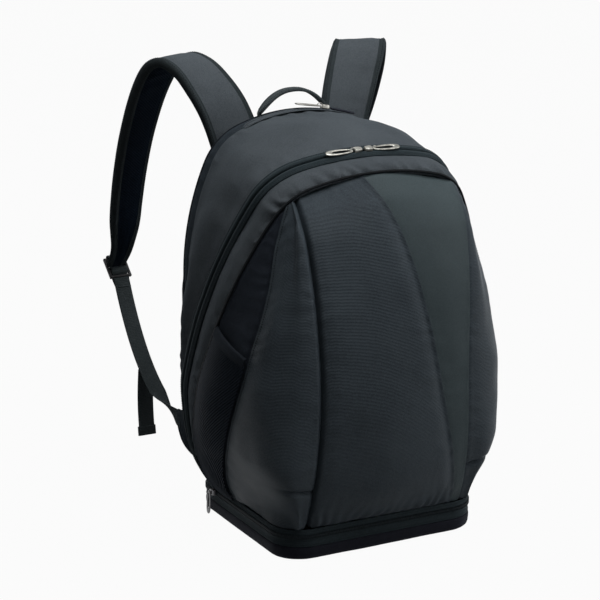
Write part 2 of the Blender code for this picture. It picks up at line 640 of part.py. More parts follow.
LOCK_XS = [-0.015, -0.0118, 0.0118, 0.015]
LOCK_YS = [-0.017, -0.0135, -0.008, -0.003, 0.003, 0.0095, 0.014]
LOCK_HOLES = [(1, 1), (1, 3), (1, 4)]
LOCK_THICK = 0.004
for side, hand in (("left", -1), ("right", 1)):
    sweep("shoulder_strap_" + side, strap_rings(hand), "body_fabric")
    wing("strap_wing_" + side, hand)
    tip = Vector((WING_TIP.x * hand, WING_TIP.y + 0.0006, WING_TIP.z))
    lock = Vector((LOCK_AT.x * hand, LOCK_AT.y, LOCK_AT.z))
    web_end = lock + LOCK_WAY * (LOCK_YS[0] - 2 * GAP)
    steps = 8
    web = []
    for k in range(steps + 1):
        t = k / steps
        web.append(tip + (web_end - tip) * t + WEB_SAG * (4 * t * (1 - t)))
    strip("lower_webbing_" + side, web, (1, 0, 0), WEB_WIDTH, WEB_THICK, "webbing")
    lock_place = axes(lock, (1, 0, 0), LOCK_WAY)
    lattice("ladder_lock_" + side, LOCK_XS, LOCK_YS, LOCK_HOLES, LOCK_THICK, "buckle", lock_place)
    hang = web[steps // 2] - Vector((0, 0, 0.002))
    tail = [Vector((0, 0.004 * math.sin(math.pi * k / 6), -0.0005 - TAIL_LENGTH * k / 6)) for k in range(7)]
    strip("webbing_tail_" + side, tail, (1, 0, 0), WEB_WIDTH, WEB_THICK, "webbing", Matrix.Translation(hang))


# Carry handle over the top edge, folding about the line of its two roots
HANDLE_WIDTH, HANDLE_END_WIDTH, HANDLE_THICK = 0.013, 0.003, 0.004
HANDLE_CLEAR = 0.0022
crown_drop = BACK_ARCH[0] * (1 - math.cos(HANDLE_HALF / BACK_ARCH[0]))
HANDLE_ROOT = Vector((0.0, BASE_BACK + 0.0005, BACK_TOP - crown_drop + HANDLE_CLEAR))
handle_path = []
for k in range(15):
    a = math.pi * k / 14
    flat = math.copysign(abs(math.cos(a))**0.75, -math.cos(a))
    handle_path.append(Vector((HANDLE_HALF * flat, 0, HANDLE_RISE * math.sin(a)**0.6)))
strip("carry_handle", handle_path, (0, 1, 0), HANDLE_WIDTH, HANDLE_THICK, "webbing",
      Matrix.Translation(HANDLE_ROOT), HANDLE_END_WIDTH)


# Zips: tapes for the rear and base zips, sliders with their pulls, and the cover of the rear zip's end
SLIDER = (0.0055, 0.0045, 0.0048)
PULL_LENGTH, BASE_PULL_LENGTH = 0.036, 0.030
PULL_HALF, PULL_THICK = 0.0055, 0.0018


def slider(name, place):
    """Slider body: a wedge with a raised bridge, its mouth towards +X."""
    length, half, height = SLIDER
    profile = [(-length, 0.62), (-length * 0.4, 0.9), (length * 0.55, 1.0), (length, 0.85)]
    low = [(x, half * w, 0) for x, w in profile] + [(x, -half * w, 0) for x, w in reversed(profile)]
    high = [(x * 0.86, y * 0.8, height) for x, y, z in low]
    prism(name, low, high, "nickel", place)


def pull(name, place, length=PULL_LENGTH):
    """Pull tab: a long loop with a teardrop slot, hinged at its narrow end."""
    steps = 18
    outer, inner = [], []
    for k in range(steps):
        a = 2 * math.pi * k / steps
        taper = 0.62 + 0.38 * (1 + math.cos(a)) / 2
        x = length / 2 * (1 + math.cos(a)) - 0.0015
        outer.append((x, PULL_HALF * taper * math.copysign(abs(math.sin(a))**0.7, math.sin(a))))
        inner.append((0.0025 + (x + 0.0015) * 0.86, outer[-1][1] * 0.52))
    ring_plate(name, outer, inner, PULL_THICK, "nickel", place)


def arc_place(centre, up, angle, radius, axis):
    """Placement on a zip's crown arc: X along the zip, Z away from the arc's centre."""
    along = Vector((1, 0, 0)) * math.cos(angle) - up * math.sin(angle)
    away = Vector((1, 0, 0)) * math.sin(angle) + up * math.cos(angle)
    return axes(centre + away * radius, along, axis), along, away


zip_up = Vector((0, -math.sin(ZIP_TILT), math.cos(ZIP_TILT)))
zip_centre = Vector((0, ZIP_TOP_Y, ZIP_TOP)) - zip_up * ZIP_ARCH[0]
back_way = -Vector(zip_axis)
MAIN_REST = math.radians(1.2)
SLIDER_LIFT = 0.0006
for side, hand in (("left", -1), ("right", 1)):
    place, along, away = arc_place(zip_centre, zip_up, MAIN_REST * hand, ZIP_ARCH[0] + SLIDER_LIFT, back_way)
    outer_end = along * hand
    slider("main_slider_" + side, axes(place.translation, outer_end, back_way * hand))
    pivot = place.translation + outer_end * (SLIDER[0] + 0.0022) + away * 0.0022
    pull("main_pull_" + side, axes(pivot, outer_end, back_way * hand))

seam_crown = Vector((0, SEAM_Y, BACK_TOP - BACK_ARCH[0]))
REAR_TAPE_LIFT, REAR_TAPE_THICK = 0.0016, 0.0009
crown_steps = range(-CROWN_STEPS * 2, CROWN_STEPS * 2 + 1)
tape_rows = []
for depth in (SEAM_Y + 0.0065, SEAM_Y - 0.0065):
    row = []
    for k in crown_steps:
        a = BACK_ARCH[1] * k / (CROWN_STEPS * 2)
        row.append((BACK_ARCH[0] * math.sin(a), depth, seam_crown.z + BACK_ARCH[0] * math.cos(a)))
    tape_rows.append(row)
shell("rear_zip_tape", np.array(tape_rows), "zip_tape", thick=REAR_TAPE_THICK, lift=REAR_TAPE_LIFT)
garage_rows = []
for depth in (SEAM_Y + 0.0055, SEAM_Y - 0.0055):
    row = []
    for k in range(5):
        a = math.radians(13.2 + 1.1 * k)
        row.append((BACK_ARCH[0] * math.sin(a), depth, seam_crown.z + BACK_ARCH[0] * math.cos(a)))
    garage_rows.append(row)
shell("rear_zip_cover", np.array(garage_rows), "body_fabric", thick=0.0012, lift=REAR_TAPE_LIFT + 0.0016)
REAR_REST = math.radians(9.4)
rear_place, along, away = arc_place(seam_crown, Vector((0, 0, 1)), REAR_REST,
                                    BACK_ARCH[0] + REAR_TAPE_LIFT + SLIDER_LIFT, Vector((0, 1, 0)))
slider("rear_slider", axes(rear_place.translation, -along, (0, -1, 0)))
rear_pivot = rear_place.translation - along * (SLIDER[0] + 0.0022) + away * 0.0026
pull("rear_pull", axes(rear_pivot, -along, (0, -1, 0)))

BASE_CHAIN_Z = 0.030
base_at = Vector((-BASE_HALF_WIDTH - SLIDER_LIFT, 0.066, BASE_CHAIN_Z))
slider("base_slider", axes(base_at, (0, -1, 0), (0, 0, 1)))
base_pivot = base_at + Vector((-0.0066, 0, 0.001))
pull("base_pull", axes(base_pivot, (0, -0.06, -1), (0, -1, 0)), BASE_PULL_LENGTH)
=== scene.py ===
import math

import bmesh
import bpy
import numpy as np
from mathutils import Matrix, Vector, noise


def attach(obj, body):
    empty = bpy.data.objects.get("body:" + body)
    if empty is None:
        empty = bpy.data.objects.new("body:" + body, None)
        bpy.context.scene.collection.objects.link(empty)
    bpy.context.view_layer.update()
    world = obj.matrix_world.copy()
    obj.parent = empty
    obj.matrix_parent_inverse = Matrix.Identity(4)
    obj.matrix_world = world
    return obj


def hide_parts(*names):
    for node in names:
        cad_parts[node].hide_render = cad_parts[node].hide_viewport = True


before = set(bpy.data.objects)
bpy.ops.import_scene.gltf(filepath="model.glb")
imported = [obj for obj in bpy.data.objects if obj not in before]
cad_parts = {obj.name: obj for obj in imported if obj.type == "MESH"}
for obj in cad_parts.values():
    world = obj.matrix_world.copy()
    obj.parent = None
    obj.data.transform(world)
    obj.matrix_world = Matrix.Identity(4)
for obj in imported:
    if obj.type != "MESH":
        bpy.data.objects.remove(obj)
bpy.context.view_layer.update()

# Stiffener boards: two flat sheets that keep the back upright and the base level.
# Cut from grey plastic sheet with a pressed grain, and slipped loose between the cloth layers.
SHEEN_ROUGH, SHEEN_TINT = 0.4, (0.45, 0.62, 0.80, 1.0)
TONE_LOW, TONE_HIGH = 0.3, 0.7
GRAIN_SCALE, GRAIN_DEPTH = 900, 0.0002


def plug(made, socket, value):
    """Set a socket to a value, or join it to the output of another node."""
    if isinstance(value, bpy.types.NodeSocket):
        made.node_tree.links.new(value, socket)
    else:
        socket.default_value = value


def finish(name, rough, metallic=0.0, sheen=0.0, specular=0.3):
    """A material with one shader; its even values are set here, and its colour and relief come after."""
    made = bpy.data.materials.new(name)
    made.use_nodes = True
    even = {"Roughness": rough, "Metallic": metallic, "Specular IOR Level": specular, "Sheen Weight": sheen,
            "Sheen Roughness": SHEEN_ROUGH, "Sheen Tint": SHEEN_TINT}
    for socket, value in even.items():
        made.node_tree.nodes["Principled BSDF"].inputs[socket].default_value = value
    return made


def part_of(made, kind, **sockets):
    """A node of a material, each socket set to a value or joined to another node's output."""
    added = made.node_tree.nodes.new("ShaderNode" + kind)
    for key, value in sockets.items():
        plug(made, added.inputs[key.replace("_", " ")], value)
    return added


def calc(made, operation, first, second=0.0):
    """One sum of a material: the output of a Math node."""
    added = part_of(made, "Math")
    added.operation = operation
    for socket, value in zip(added.inputs, (first, second)):
        plug(made, socket, value)
    return added.outputs[0]


def cloudy(made, scale, detail=5.0):
    """Soft cloud pattern fixed to the piece, from 0 to 1."""
    place = part_of(made, "TexCoord").outputs["Object"]
    return part_of(made, "TexNoise", Vector=place, Scale=scale, Detail=detail).outputs["Fac"]


def colour_by_tone(made, tone, dark, pale):
    """Colour of a surface, from dark to pale as its tone rises."""
    ramp = part_of(made, "ValToRGB", Fac=tone)
    for stop, place, colour in zip(ramp.color_ramp.elements, (TONE_LOW, TONE_HIGH), (dark, pale)):
        stop.position = place
        stop.color = (*colour, 1.0)
    plug(made, made.node_tree.nodes["Principled BSDF"].inputs["Base Color"], ramp.outputs["Color"])


def relief(made, height, distance):
    """Raised and sunk detail of a surface, with its depth in metres."""
    bump = part_of(made, "Bump", Height=height, Distance=distance, Strength=1.0)
    plug(made, made.node_tree.nodes["Principled BSDF"].inputs["Normal"], bump.outputs["Normal"])


def plain(name, rough, dark, pale, scale, detail=2.0, specular=0.06, metallic=0.0):
    """A surface without a weave, in a faintly clouded colour."""
    made = finish(name, rough, metallic, specular=specular)
    colour_by_tone(made, cloudy(made, scale, detail), dark, pale)
    return made


board_finish = plain("pressed_board", 0.55, (0.085, 0.085, 0.095), (0.125, 0.125, 0.13), 60, 5.0, 0.3)
relief(board_finish, cloudy(board_finish, GRAIN_SCALE, 2.0), GRAIN_DEPTH)
for board in ("back_board", "base_board"):
    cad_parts[board].data.materials.clear()
    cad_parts[board].data.materials.append(board_finish)

# Rear of the body: a narrow band round the back and the wide gusset that runs from it to the main zip.
# Both are charcoal woven cloth with a lining behind, cut as long strips and sewn edge to edge over the top.
BASE_BACK = 0.113
FOOT_Z = 0.0385
BACK_TOP = 0.489
SEAM_Y = 0.098
FABRIC = 0.0025
BACK_HALF, BACK_FOOT = 0.150, 0.120
BAND_HALF, BAND_FOOT = 0.153, 0.128
BACK_ARCH = (0.22, math.radians(20), 0.080, math.radians(66))
ARC_STEPS = (36, 50, 28)
LEG_STEPS = 84
LEG_POWER = 5.0
PACK_MIDDLE = np.array([0.0, 0.0, 0.24])
YARN_FLECKS = 620
# The yarn share is painted shade and highlight: darker in the gaps between yarns, paler on their tops.
CLOUD_SHARE, FLECK_SHARE, YARN_SHADE_SHARE = 0.45, 0.36, 0.25
CLOTH_SHEEN = 0.04
DRIFT_SIZE, UNEVEN_SIZE, FLAT_SEAM = 0.03, 0.05, 0.0025
SHARP_FOLD = 55


def woven(name, dark, pale, pitch, depth, rough=0.82, rib=1.0, mottle=9.0, specular=0.03, rows=False):
    """Woven cloth: yarns crossing over and under at a pitch, or in plain rows, in an uneven dye, with painted
    shade between yarns.
    """
    made = finish(name, rough, sheen=CLOTH_SHEEN, specular=specular)
    sheet = part_of(made, "UVMap")
    sheet.uv_map = "cut"
    axes = part_of(made, "SeparateXYZ", Vector=sheet.outputs["UV"])
    warp = calc(made, "SINE", calc(made, "MULTIPLY", axes.outputs["X"], math.pi / pitch))
    weft = calc(made, "SINE", calc(made, "MULTIPLY", axes.outputs["Y"], math.pi / (pitch * rib)))
    over = calc(made, "GREATER_THAN", calc(made, "MULTIPLY", warp, weft), 0.0)
    up = calc(made, "MULTIPLY", calc(made, "ABSOLUTE", warp), over)
    under = calc(made, "MULTIPLY", calc(made, "ABSOLUTE", weft), calc(made, "SUBTRACT", 1.0, over))
    yarns = calc(made, "ABSOLUTE", weft) if rows else calc(made, "ADD", up, under)
    clouds = calc(made, "MULTIPLY", cloudy(made, mottle), CLOUD_SHARE)
    flecks = calc(made, "MULTIPLY", cloudy(made, YARN_FLECKS, 2.0), FLECK_SHARE)
    # Tone: random dye in clouds and flecks, plus painted shade in the gaps between yarns and a painted
    # highlight on their tops.
    tone = calc(made, "ADD", calc(made, "ADD", clouds, flecks), calc(made, "MULTIPLY", yarns, YARN_SHADE_SHARE))
    colour_by_tone(made, tone, dark, pale)
    relief(made, yarns, depth)
    return made


def between(s, near, far, leave, arrive):
    """Smooth way from a near point to a far one, at shares s, with the slopes at both."""
    start = (2 * s**3 - 3 * s**2 + 1) * near + (s**3 - 2 * s**2 + s) * leave
    return start + (3 * s**2 - 2 * s**3) * far + (s**3 - s**2) * arrive


def smooth(t, keys):
    """Values at t of a smooth curve through (t, value) keys, held past both ends."""
    ts = np.array([key[0] for key in keys], float)
    vs = np.array([key[1] for key in keys], float)
    t = np.clip(np.asarray(t, float), ts[0], ts[-1])
    i = np.clip(np.searchsorted(ts, t, side="right") - 1, 0, len(ts) - 2)
    low = np.maximum(np.arange(len(ts)) - 1, 0)
    high = np.minimum(np.arange(len(ts)) + 1, len(ts) - 1)
    span = ts[high] - ts[low]
    h = ts[i + 1] - ts[i]
    s = (t - ts[i]) / h
    if vs.ndim > 1:
        span, h, s = span[:, None], h[..., None], s[..., None]
    slope = (vs[high] - vs[low]) / span
    return between(s, vs[i], vs[i + 1], h * slope[i], h * slope[i + 1])


def unit(ways):
    """Directions made one long."""
    ways = np.asarray(ways, float)
    return ways / np.maximum(np.linalg.norm(ways, axis=-1, keepdims=True), 1e-12)


def arch(half_width, crown_r, crown_a, shoulder_r, shoulder_a):
    """Right half of an arch as (x, drop): crown arc, shoulder arc, then a side arc to the widest point."""
    cx = (crown_r - shoulder_r) * math.sin(crown_a)
    cd = crown_r - (crown_r - shoulder_r) * math.cos(crown_a)
    side_r = (half_width - cx - shoulder_r * math.sin(shoulder_a)) / (1 - math.sin(shoulder_a))
    sx = cx + (shoulder_r - side_r) * math.sin(shoulder_a)
    sd = cd - (shoulder_r - side_r) * math.cos(shoulder_a)
    arcs = [(0.0, crown_r, crown_r, 0.0, crown_a), (cx, cd, shoulder_r, crown_a, shoulder_a),
            (sx, sd, side_r, shoulder_a, math.pi / 2)]
    points = [(0.0, 0.0)]
    for (x0, d0, radius, start, end), steps in zip(arcs, ARC_STEPS):
        for a in np.linspace(start, end, steps + 1)[1:]:
            points.append((x0 + radius * math.sin(a), d0 - radius * math.cos(a)))
    return points


def outline(half_width, form, top, tilt, foot_x, depth_keys):
    """Whole sewing line, left foot over the crown to right foot, with its depth given by height."""
    half = [(x, top - drop * math.cos(tilt)) for x, drop in arch(half_width, *form)]
    wide_x, wide_z = half[-1]
    for t in np.linspace(0, 1, LEG_STEPS + 1)[1:]:
        half.append((foot_x + (wide_x - foot_x) * (1 - t**LEG_POWER), wide_z + (FOOT_Z - wide_z) * t))
    right = [(x, float(smooth(z, depth_keys)), z) for x, z in half]
    return np.array([(-x, y, z) for x, y, z in reversed(right[1:])] + right)


def loft(first, last, rows, swell=0.0):
    """Grid of points between two sewing lines, swollen outward at its middle and flat at its feet."""
    from_foot = np.minimum(np.arange(len(first)), np.arange(len(first))[::-1])
    swell = swell * np.minimum(1.0, from_foot / LEG_STEPS)[:, None]
    across = last - first
    out = unit(np.cross(np.gradient(first, axis=0), across))
    out *= np.sign(np.sum(out * (0.5 * (first + last) - PACK_MIDDLE), axis=1, keepdims=True))
    steps = np.linspace(0, 1, rows + 1)
    return np.array([first + across * s + out * swell * math.sin(math.pi * s)**2 for s in steps])


def outward(grid):
    """Unit normals of a grid of points, turned away from the pack's middle."""
    normal = unit(np.cross(np.gradient(grid, axis=0), np.gradient(grid, axis=1)))
    return normal * np.sign(np.sum(normal * (grid - PACK_MIDDLE), axis=2).mean())


def run(grid, axis):
    """Length along a grid from its first row or column to each point."""
    step = np.linalg.norm(np.diff(grid, axis=axis), axis=2)
    start = np.zeros_like(np.take(step, [0], axis=axis))
    return np.concatenate([start, np.cumsum(step, axis=axis)], axis=axis)


def crumple(points, size, seed):
    """Uneven swell and slack of cloth at a size, about -1 to 1 at each point."""
    flat = points.reshape(-1, 3) / size
    shift = Vector((seed * 3.1, seed * 7.7, seed * 1.3))
    return np.array([noise.noise(Vector(p) + shift) for p in flat]).reshape(points.shape[:-1])


def sew(grid, out, dips, width=0.0042, pucker=0.0006, wave=0.016, reach=0.013, slack=0.0010, size=0.06,
        seed=0.0):
    """Cloth between its seams: drawn down at each sewn edge, puckered beside it and slack between.
    The dips are those of the first row, last row, first column and last column."""
    across, along = run(grid, 0), run(grid, 1)
    from_edges = (across, across[-1:] - across, along, along[:, -1:] - along)
    beside = (along, along, across, across)
    lift = slack * crumple(grid, size, seed) + 0.5 * slack * crumple(grid, size * 0.35, seed + 5)
    drift = crumple(grid, DRIFT_SIZE, seed + 9)
    uneven = 0.6 + 0.8 * crumple(grid, UNEVEN_SIZE, seed + 13)
    for dip, d, s in zip(dips, from_edges, beside):
        if dip:
            fold = np.sin(2 * math.pi * s / wave + 4 * drift) * uneven
            lift += pucker * fold * np.exp(-d / reach) * (1 - np.exp(-(d / FLAT_SEAM)**2))
            lift -= dip * np.exp(-(d / width)**2)
    return grid + out * lift[..., None]


def squares(grid, out):
    """Four-cornered faces of a grid, turned to face out."""
    rows, cols = grid.shape[:2]
    number = np.arange(rows * cols).reshape(rows, cols)
    corners = (number[:-1, :-1], number[:-1, 1:], number[1:, 1:], number[1:, :-1])
    faces = np.stack(corners, axis=-1).reshape(-1, 4)
    turn = np.cross(grid[:-1, 1:] - grid[:-1, :-1], grid[1:, :-1] - grid[:-1, :-1])
    return faces if np.sum(turn * out[:-1, :-1]) > 0 else faces[:, ::-1]


def shown(name, mesh, sharp):
    """A piece from a mesh, smooth apart from the edges that are sharper than an angle."""
    mesh.shade_smooth()
    mesh.set_sharp_from_angle(angle=math.radians(sharp))
    piece = bpy.data.objects.new(name, mesh)
    bpy.context.scene.collection.objects.link(piece)
    return piece


def piece_of(name, points, faces, finishes, zones=None, cut=None):
    """A piece from points and faces; zones give the faces' finishes, and cut their corners on flat cloth."""
    mesh = bpy.data.meshes.new(name)
    mesh.from_pydata(np.asarray(points).tolist(), [], [list(map(int, face)) for face in faces])
    for made in finishes:
        mesh.materials.append(made)
    if zones is not None:
        mesh.polygons.foreach_set("material_index", zones)
    if cut is not None:
        mesh.uv_layers.new(name="cut").data.foreach_set("uv", np.asarray(cut, float).ravel())
    return shown(name, mesh, SHARP_FOLD)


def cloth(name, grid, out, thick, outside, inside):
    """Sewn sheet as a closed mesh: outer face, lining face and turned edges, with its flat cut as UVs."""
    rows, cols = grid.shape[:2]
    count = rows * cols
    number = np.arange(count).reshape(rows, cols)
    faces = squares(grid, out)
    ring = list(number[0]) + list(number[1:, -1]) + list(number[-1, -2::-1]) + list(number[-2:0:-1, 0])
    if faces[0, 0] == 0 and faces[0, 1] == 1:
        ring = ring[::-1]
    rim = [[a, b, b + count, a + count] for a, b in zip(ring, ring[1:] + ring[:1])]
    faces = np.concatenate([faces, faces[:, ::-1] + count, np.array(rim)])
    points = np.concatenate([grid.reshape(-1, 3), (grid - out * thick).reshape(-1, 3)])
    flat = np.stack([run(grid, 1), run(grid, 0)], axis=-1).reshape(-1, 2)
    sheet = len(faces) - len(rim)
    zones = [0] * (sheet // 2) + [1] * (sheet // 2) + [0] * len(rim)
    return piece_of(name, points, faces, (outside, inside), zones, np.concatenate([flat, flat])[faces])


def fit(piece, body, slot, *nodes):
    """Join a piece to the body that carries it, in place of its plain solids."""
    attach(piece, body)
    if nodes:
        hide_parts(*nodes)
    return piece


charcoal = woven("charcoal_cloth", (0.034, 0.041, 0.048), (0.094, 0.108, 0.120), 0.0011, 0.00030)
# A darker copy of the charcoal cloth, used for the rear band and the wings; on the wings its darkness is
# painted shade.
band_and_shaded_wing_cloth = woven("dark_band_and_shaded_wing_cloth", (0.012, 0.016, 0.021), (0.038, 0.047, 0.056), 0.0011, 0.00030)
lining = woven("inner_lining", (0.008, 0.010, 0.014), (0.024, 0.028, 0.034), 0.0009, 0.0002, rough=0.7)
back_edge = outline(BACK_HALF, BACK_ARCH, BACK_TOP, 0.0, BACK_FOOT, [(0.0, BASE_BACK), (1.0, BASE_BACK)])
band_depth = [(0.038, 0.1025), (0.08, SEAM_Y), (0.5, SEAM_Y)]
band_seam = outline(BAND_HALF, BACK_ARCH, BACK_TOP, 0.0, BAND_FOOT, band_depth)
band_grid = loft(back_edge, band_seam, 8)
band_out = outward(band_grid)
band_cloth = sew(band_grid, band_out, (0.0010, 0.0012, 0, 0), slack=0.0005, seed=1)
fit(cloth("rear_band_cloth", band_cloth, band_out, FABRIC, band_and_shaded_wing_cloth, lining), "pack", "body_fabric",
    "rear_band")

ZIP_TOP, ZIP_TOP_Y = 0.468, -0.061
ZIP_HALF, ZIP_FOOT = 0.166, 0.1335
ZIP_TILT = math.radians(26)
ZIP_ARCH = (0.32, math.radians(15), 0.072, math.radians(70))
TAPE_HALF = 0.010
GUSSET_SWELL = 0.008
zip_depth = [(0.038, 0.074), (0.075, 0.079), (0.13, 0.082)]
zip_depth += [(z, ZIP_TOP_Y + (ZIP_TOP - z) * math.tan(ZIP_TILT)) for z in (0.18, 0.31, ZIP_TOP)]
zip_line = outline(ZIP_HALF, ZIP_ARCH, ZIP_TOP, ZIP_TILT, ZIP_FOOT, zip_depth)
zip_forward = np.array([0.0, -math.cos(ZIP_TILT), -math.sin(ZIP_TILT)])


def tape_line(offset):
    """The zip line moved across its tape, forward for a positive offset, with its feet kept level."""
    moved = zip_line + zip_forward * offset
    moved[0, 2] = moved[-1, 2] = FOOT_Z
    return moved


gusset_grid = loft(band_seam, tape_line(-TAPE_HALF), 40, GUSSET_SWELL)
gusset_out = outward(gusset_grid)
gusset_cloth = sew(gusset_grid, gusset_out, (0.0014, 0.0012, 0, 0), pucker=0.0012, wave=0.024, slack=0.0024,
                   size=0.085, seed=2)
fit(cloth("rear_gusset_cloth", gusset_cloth, gusset_out, FABRIC, charcoal, lining), "pack", "body_fabric",
    "rear_gusset")

# Back panel: foam pads under a dark spacer mesh, with air channels sewn down between them.
# The cover is one sheet, held at its edge and along the channels, and the foam lifts it between those seams.
PAD_THICK, PAD_CROWN = 0.005, 0.0045
PAD_TOP, PAD_FADE = 0.405, 0.03
PAD_TAPER, PAD_THIN = 0.016, 0.2
PAD_PUSH, PAD_CAP, PAD_SLACK, PAD_FRAMES = 6.0, 0.004, 0.012, 18
CHANNEL_LEVELS = (0.135, 0.225, 0.315)
SPINE_WIDTH, CHANNEL_WIDTH, CHANNEL_SHARE = 0.014, 0.010, 0.85
SEWN_CHANNEL, SEWN_EDGE, SEWN_FOOT = 0.72, 0.97, 0.006
SEAM_GAP = 0.0003


def settle(grid, out, held):
    """Cloth let go under air pressure while its sewn points are held; no point moves further than the cap."""
    scene = bpy.context.scene
    trial = piece_of("slack_cloth", grid.reshape(-1, 3), squares(grid, out), ())
    sewn = trial.vertex_groups.new(name="sewn")
    sewn.add(np.flatnonzero(held.ravel()).tolist(), 1.0, "REPLACE")
    loose = trial.modifiers.new("loose", "CLOTH")
    loose.settings.vertex_group_mass = "sewn"
    loose.settings.use_pressure = True
    loose.settings.uniform_pressure_force = PAD_PUSH
    loose.settings.shrink_min = -PAD_SLACK
    loose.settings.effector_weights.gravity = 0.0
    loose.settings.quality = 5
    loose.collision_settings.use_collision = False
    loose.point_cache.frame_start = 1
    loose.point_cache.frame_end = PAD_FRAMES
    for step in range(1, PAD_FRAMES + 1):
        scene.frame_set(step)
    posed = trial.evaluated_get(bpy.context.evaluated_depsgraph_get()).data
    moved = np.zeros(len(posed.vertices) * 3)
    posed.vertices.foreach_get("co", moved)
    shift = moved.reshape(grid.shape) - grid
    length = np.linalg.norm(shift, axis=2, keepdims=True)
    bpy.data.objects.remove(trial, do_unlink=True)
    scene.frame_set(1)
    return grid + shift * np.minimum(1.0, PAD_CAP / np.maximum(length, 1e-9))


def arch_sheet(edge, columns, y):
    """Grid of points over the flat area inside an arch, from its foot up to its crown, at one depth."""
    half = edge[len(edge) // 2 + 1:][::-2]
    shares = np.linspace(-1, 1, columns)
    return np.array([[(f * x, y, z) for f in shares] for x, _, z in half]), shares


spacer = woven("spacer_mesh", (0.010, 0.013, 0.017), (0.044, 0.050, 0.060), 0.0024, 0.0008, rough=0.88)
pad_grid, pad_share = arch_sheet(back_edge, 75, BASE_BACK + SEAM_GAP + PAD_THICK)
pad_x, pad_z = pad_grid[..., 0], pad_grid[..., 2]
crown = PAD_CROWN * (1 - np.abs(pad_share)**4) * np.clip((PAD_TOP - pad_z) / PAD_FADE, 0, 1)
channel = np.exp(-(pad_x / SPINE_WIDTH)**2)
for level in CHANNEL_LEVELS:
    channel = channel + np.exp(-((pad_z - level) / CHANNEL_WIDTH)**2)
pad_grid[..., 1] += crown * (1 - CHANNEL_SHARE * np.minimum(1.0, channel))
crown_edge = back_edge[len(back_edge) // 2:][:sum(ARC_STEPS) + 1]
below_edge = np.interp(np.abs(pad_x), crown_edge[:, 0], crown_edge[:, 2]) - pad_z
pad_grid[..., 1] -= PAD_THICK * (1 - np.clip(below_edge / PAD_TAPER, PAD_THIN, 1))
pad_out = np.broadcast_to((0.0, 1.0, 0.0), pad_grid.shape)
held = (channel > SEWN_CHANNEL) | (np.abs(pad_share) > SEWN_EDGE)
held |= (pad_z > PAD_TOP) | (pad_z < FOOT_Z + SEWN_FOOT)
pad_grid = settle(pad_grid, pad_out, held)
pad_depth = (pad_grid[..., 1] - BASE_BACK - SEAM_GAP)[..., None]
pads = cloth("back_panel_pads", pad_grid, pad_out, pad_depth, spacer, lining)
fit(pads, "pack", "lining", "back_panel")

# Inner walls: the divider between the racket sleeve and the main space, and the floor above the shoe space.
# Both are thin padded sheets in lining cloth, bound at the edge and sewn into the side seams.
DIVIDER_THICK, DIVIDER_INSET, DIVIDER_BACK = 0.0035, 0.0045, 0.0065
DIVIDER_FOOT = FOOT_Z + 0.001
BASE_HALF_WIDTH, BASE_FRONT = 0.134, -0.122
BASE_FRONT_RADIUS, BASE_REAR_RADIUS = 0.040, 0.030
RING_POINTS = 420
FLOOR_Z, FLOOR_THICK, FLOOR_INSET = 0.108, 0.0025, 0.004
FLOOR_WIDE, FLOOR_DEEP, FLOOR_SHIFT = 0.86, 0.84, -0.006


def inset(edge, width):
    """An arch line drawn inward by a width in its own upright plane."""
    along = np.gradient(edge[:, [0, 2]], axis=0)
    moved = edge.copy()
    moved[:, [0, 2]] += unit(np.stack([along[:, 1], -along[:, 0]], axis=1)) * width
    moved[0, 2] = moved[-1, 2] = DIVIDER_FOOT
    return moved


def lengths(path):
    """Length along a path from its first point to each point."""
    return run(path[:, None], 0)[:, 0]


def along_at(at, far, values):
    """Values at lengths along a path, from those at its points."""
    return np.stack([np.interp(at, far, values[:, k]) for k in range(3)], axis=-1)


def base_ring(drawn_in, z):
    """Rounded rectangle of the base, drawn in by a width, in even steps from the middle of the back."""
    corners = [(-1, BASE_BACK, BASE_REAR_RADIUS, 90), (-1, BASE_FRONT, BASE_FRONT_RADIUS, 180),
               (1, BASE_FRONT, BASE_FRONT_RADIUS, 270), (1, BASE_BACK, BASE_REAR_RADIUS, 0)]
    ring = [(0.0, BASE_BACK - drawn_in, z)]
    for hand, end, radius, start in corners:
        x, y = hand * (BASE_HALF_WIDTH - radius), end - math.copysign(radius, end)
        turn = np.radians(np.linspace(start, start + 90, 25))
        reach = radius - drawn_in
        ring += [(x + reach * math.cos(a), y + reach * math.sin(a), z) for a in turn]
    ring = np.array(ring + ring[:1])
    far = lengths(ring)
    return along_at(np.linspace(0, far[-1], RING_POINTS + 1), far, ring)


divider_grid, _ = arch_sheet(inset(band_seam, DIVIDER_INSET), 41, SEAM_Y - DIVIDER_BACK)
divider_out = np.broadcast_to((0.0, -1.0, 0.0), divider_grid.shape)
divider_cloth = sew(divider_grid, divider_out, (-0.0006,) * 4, pucker=0.0004, slack=0.0006, seed=3)
fit(cloth("divider_panel_cloth", divider_cloth, divider_out, DIVIDER_THICK, lining, lining), "pack", "lining",
    "divider_panel")
floor_top = FLOOR_Z + FLOOR_THICK
floor_ring = base_ring(FLOOR_INSET, floor_top) * (FLOOR_WIDE, FLOOR_DEEP, 1) + (0, FLOOR_SHIFT, 0)
floor_left = floor_ring[:RING_POINTS // 2 + 1]
floor_ys = np.linspace(floor_left[0, 1], floor_left[-1, 1], 30)[1:-1]
floor_half = np.interp(-floor_ys, -floor_left[:, 1], -floor_left[:, 0])
floor_grid = np.array([[(share * half, y, floor_top) for share in np.linspace(-1, 1, 30)]
                       for y, half in zip(floor_ys, floor_half)])
floor_out = np.broadcast_to((0.0, 0.0, 1.0), floor_grid.shape)
floor_cloth = sew(floor_grid, floor_out, (0.0008,) * 4, slack=0.0008, seed=4)
fit(cloth("compartment_floor_cloth", floor_cloth, floor_out, FLOOR_THICK, lining, lining), "pack", "lining",
    "compartment_floor")

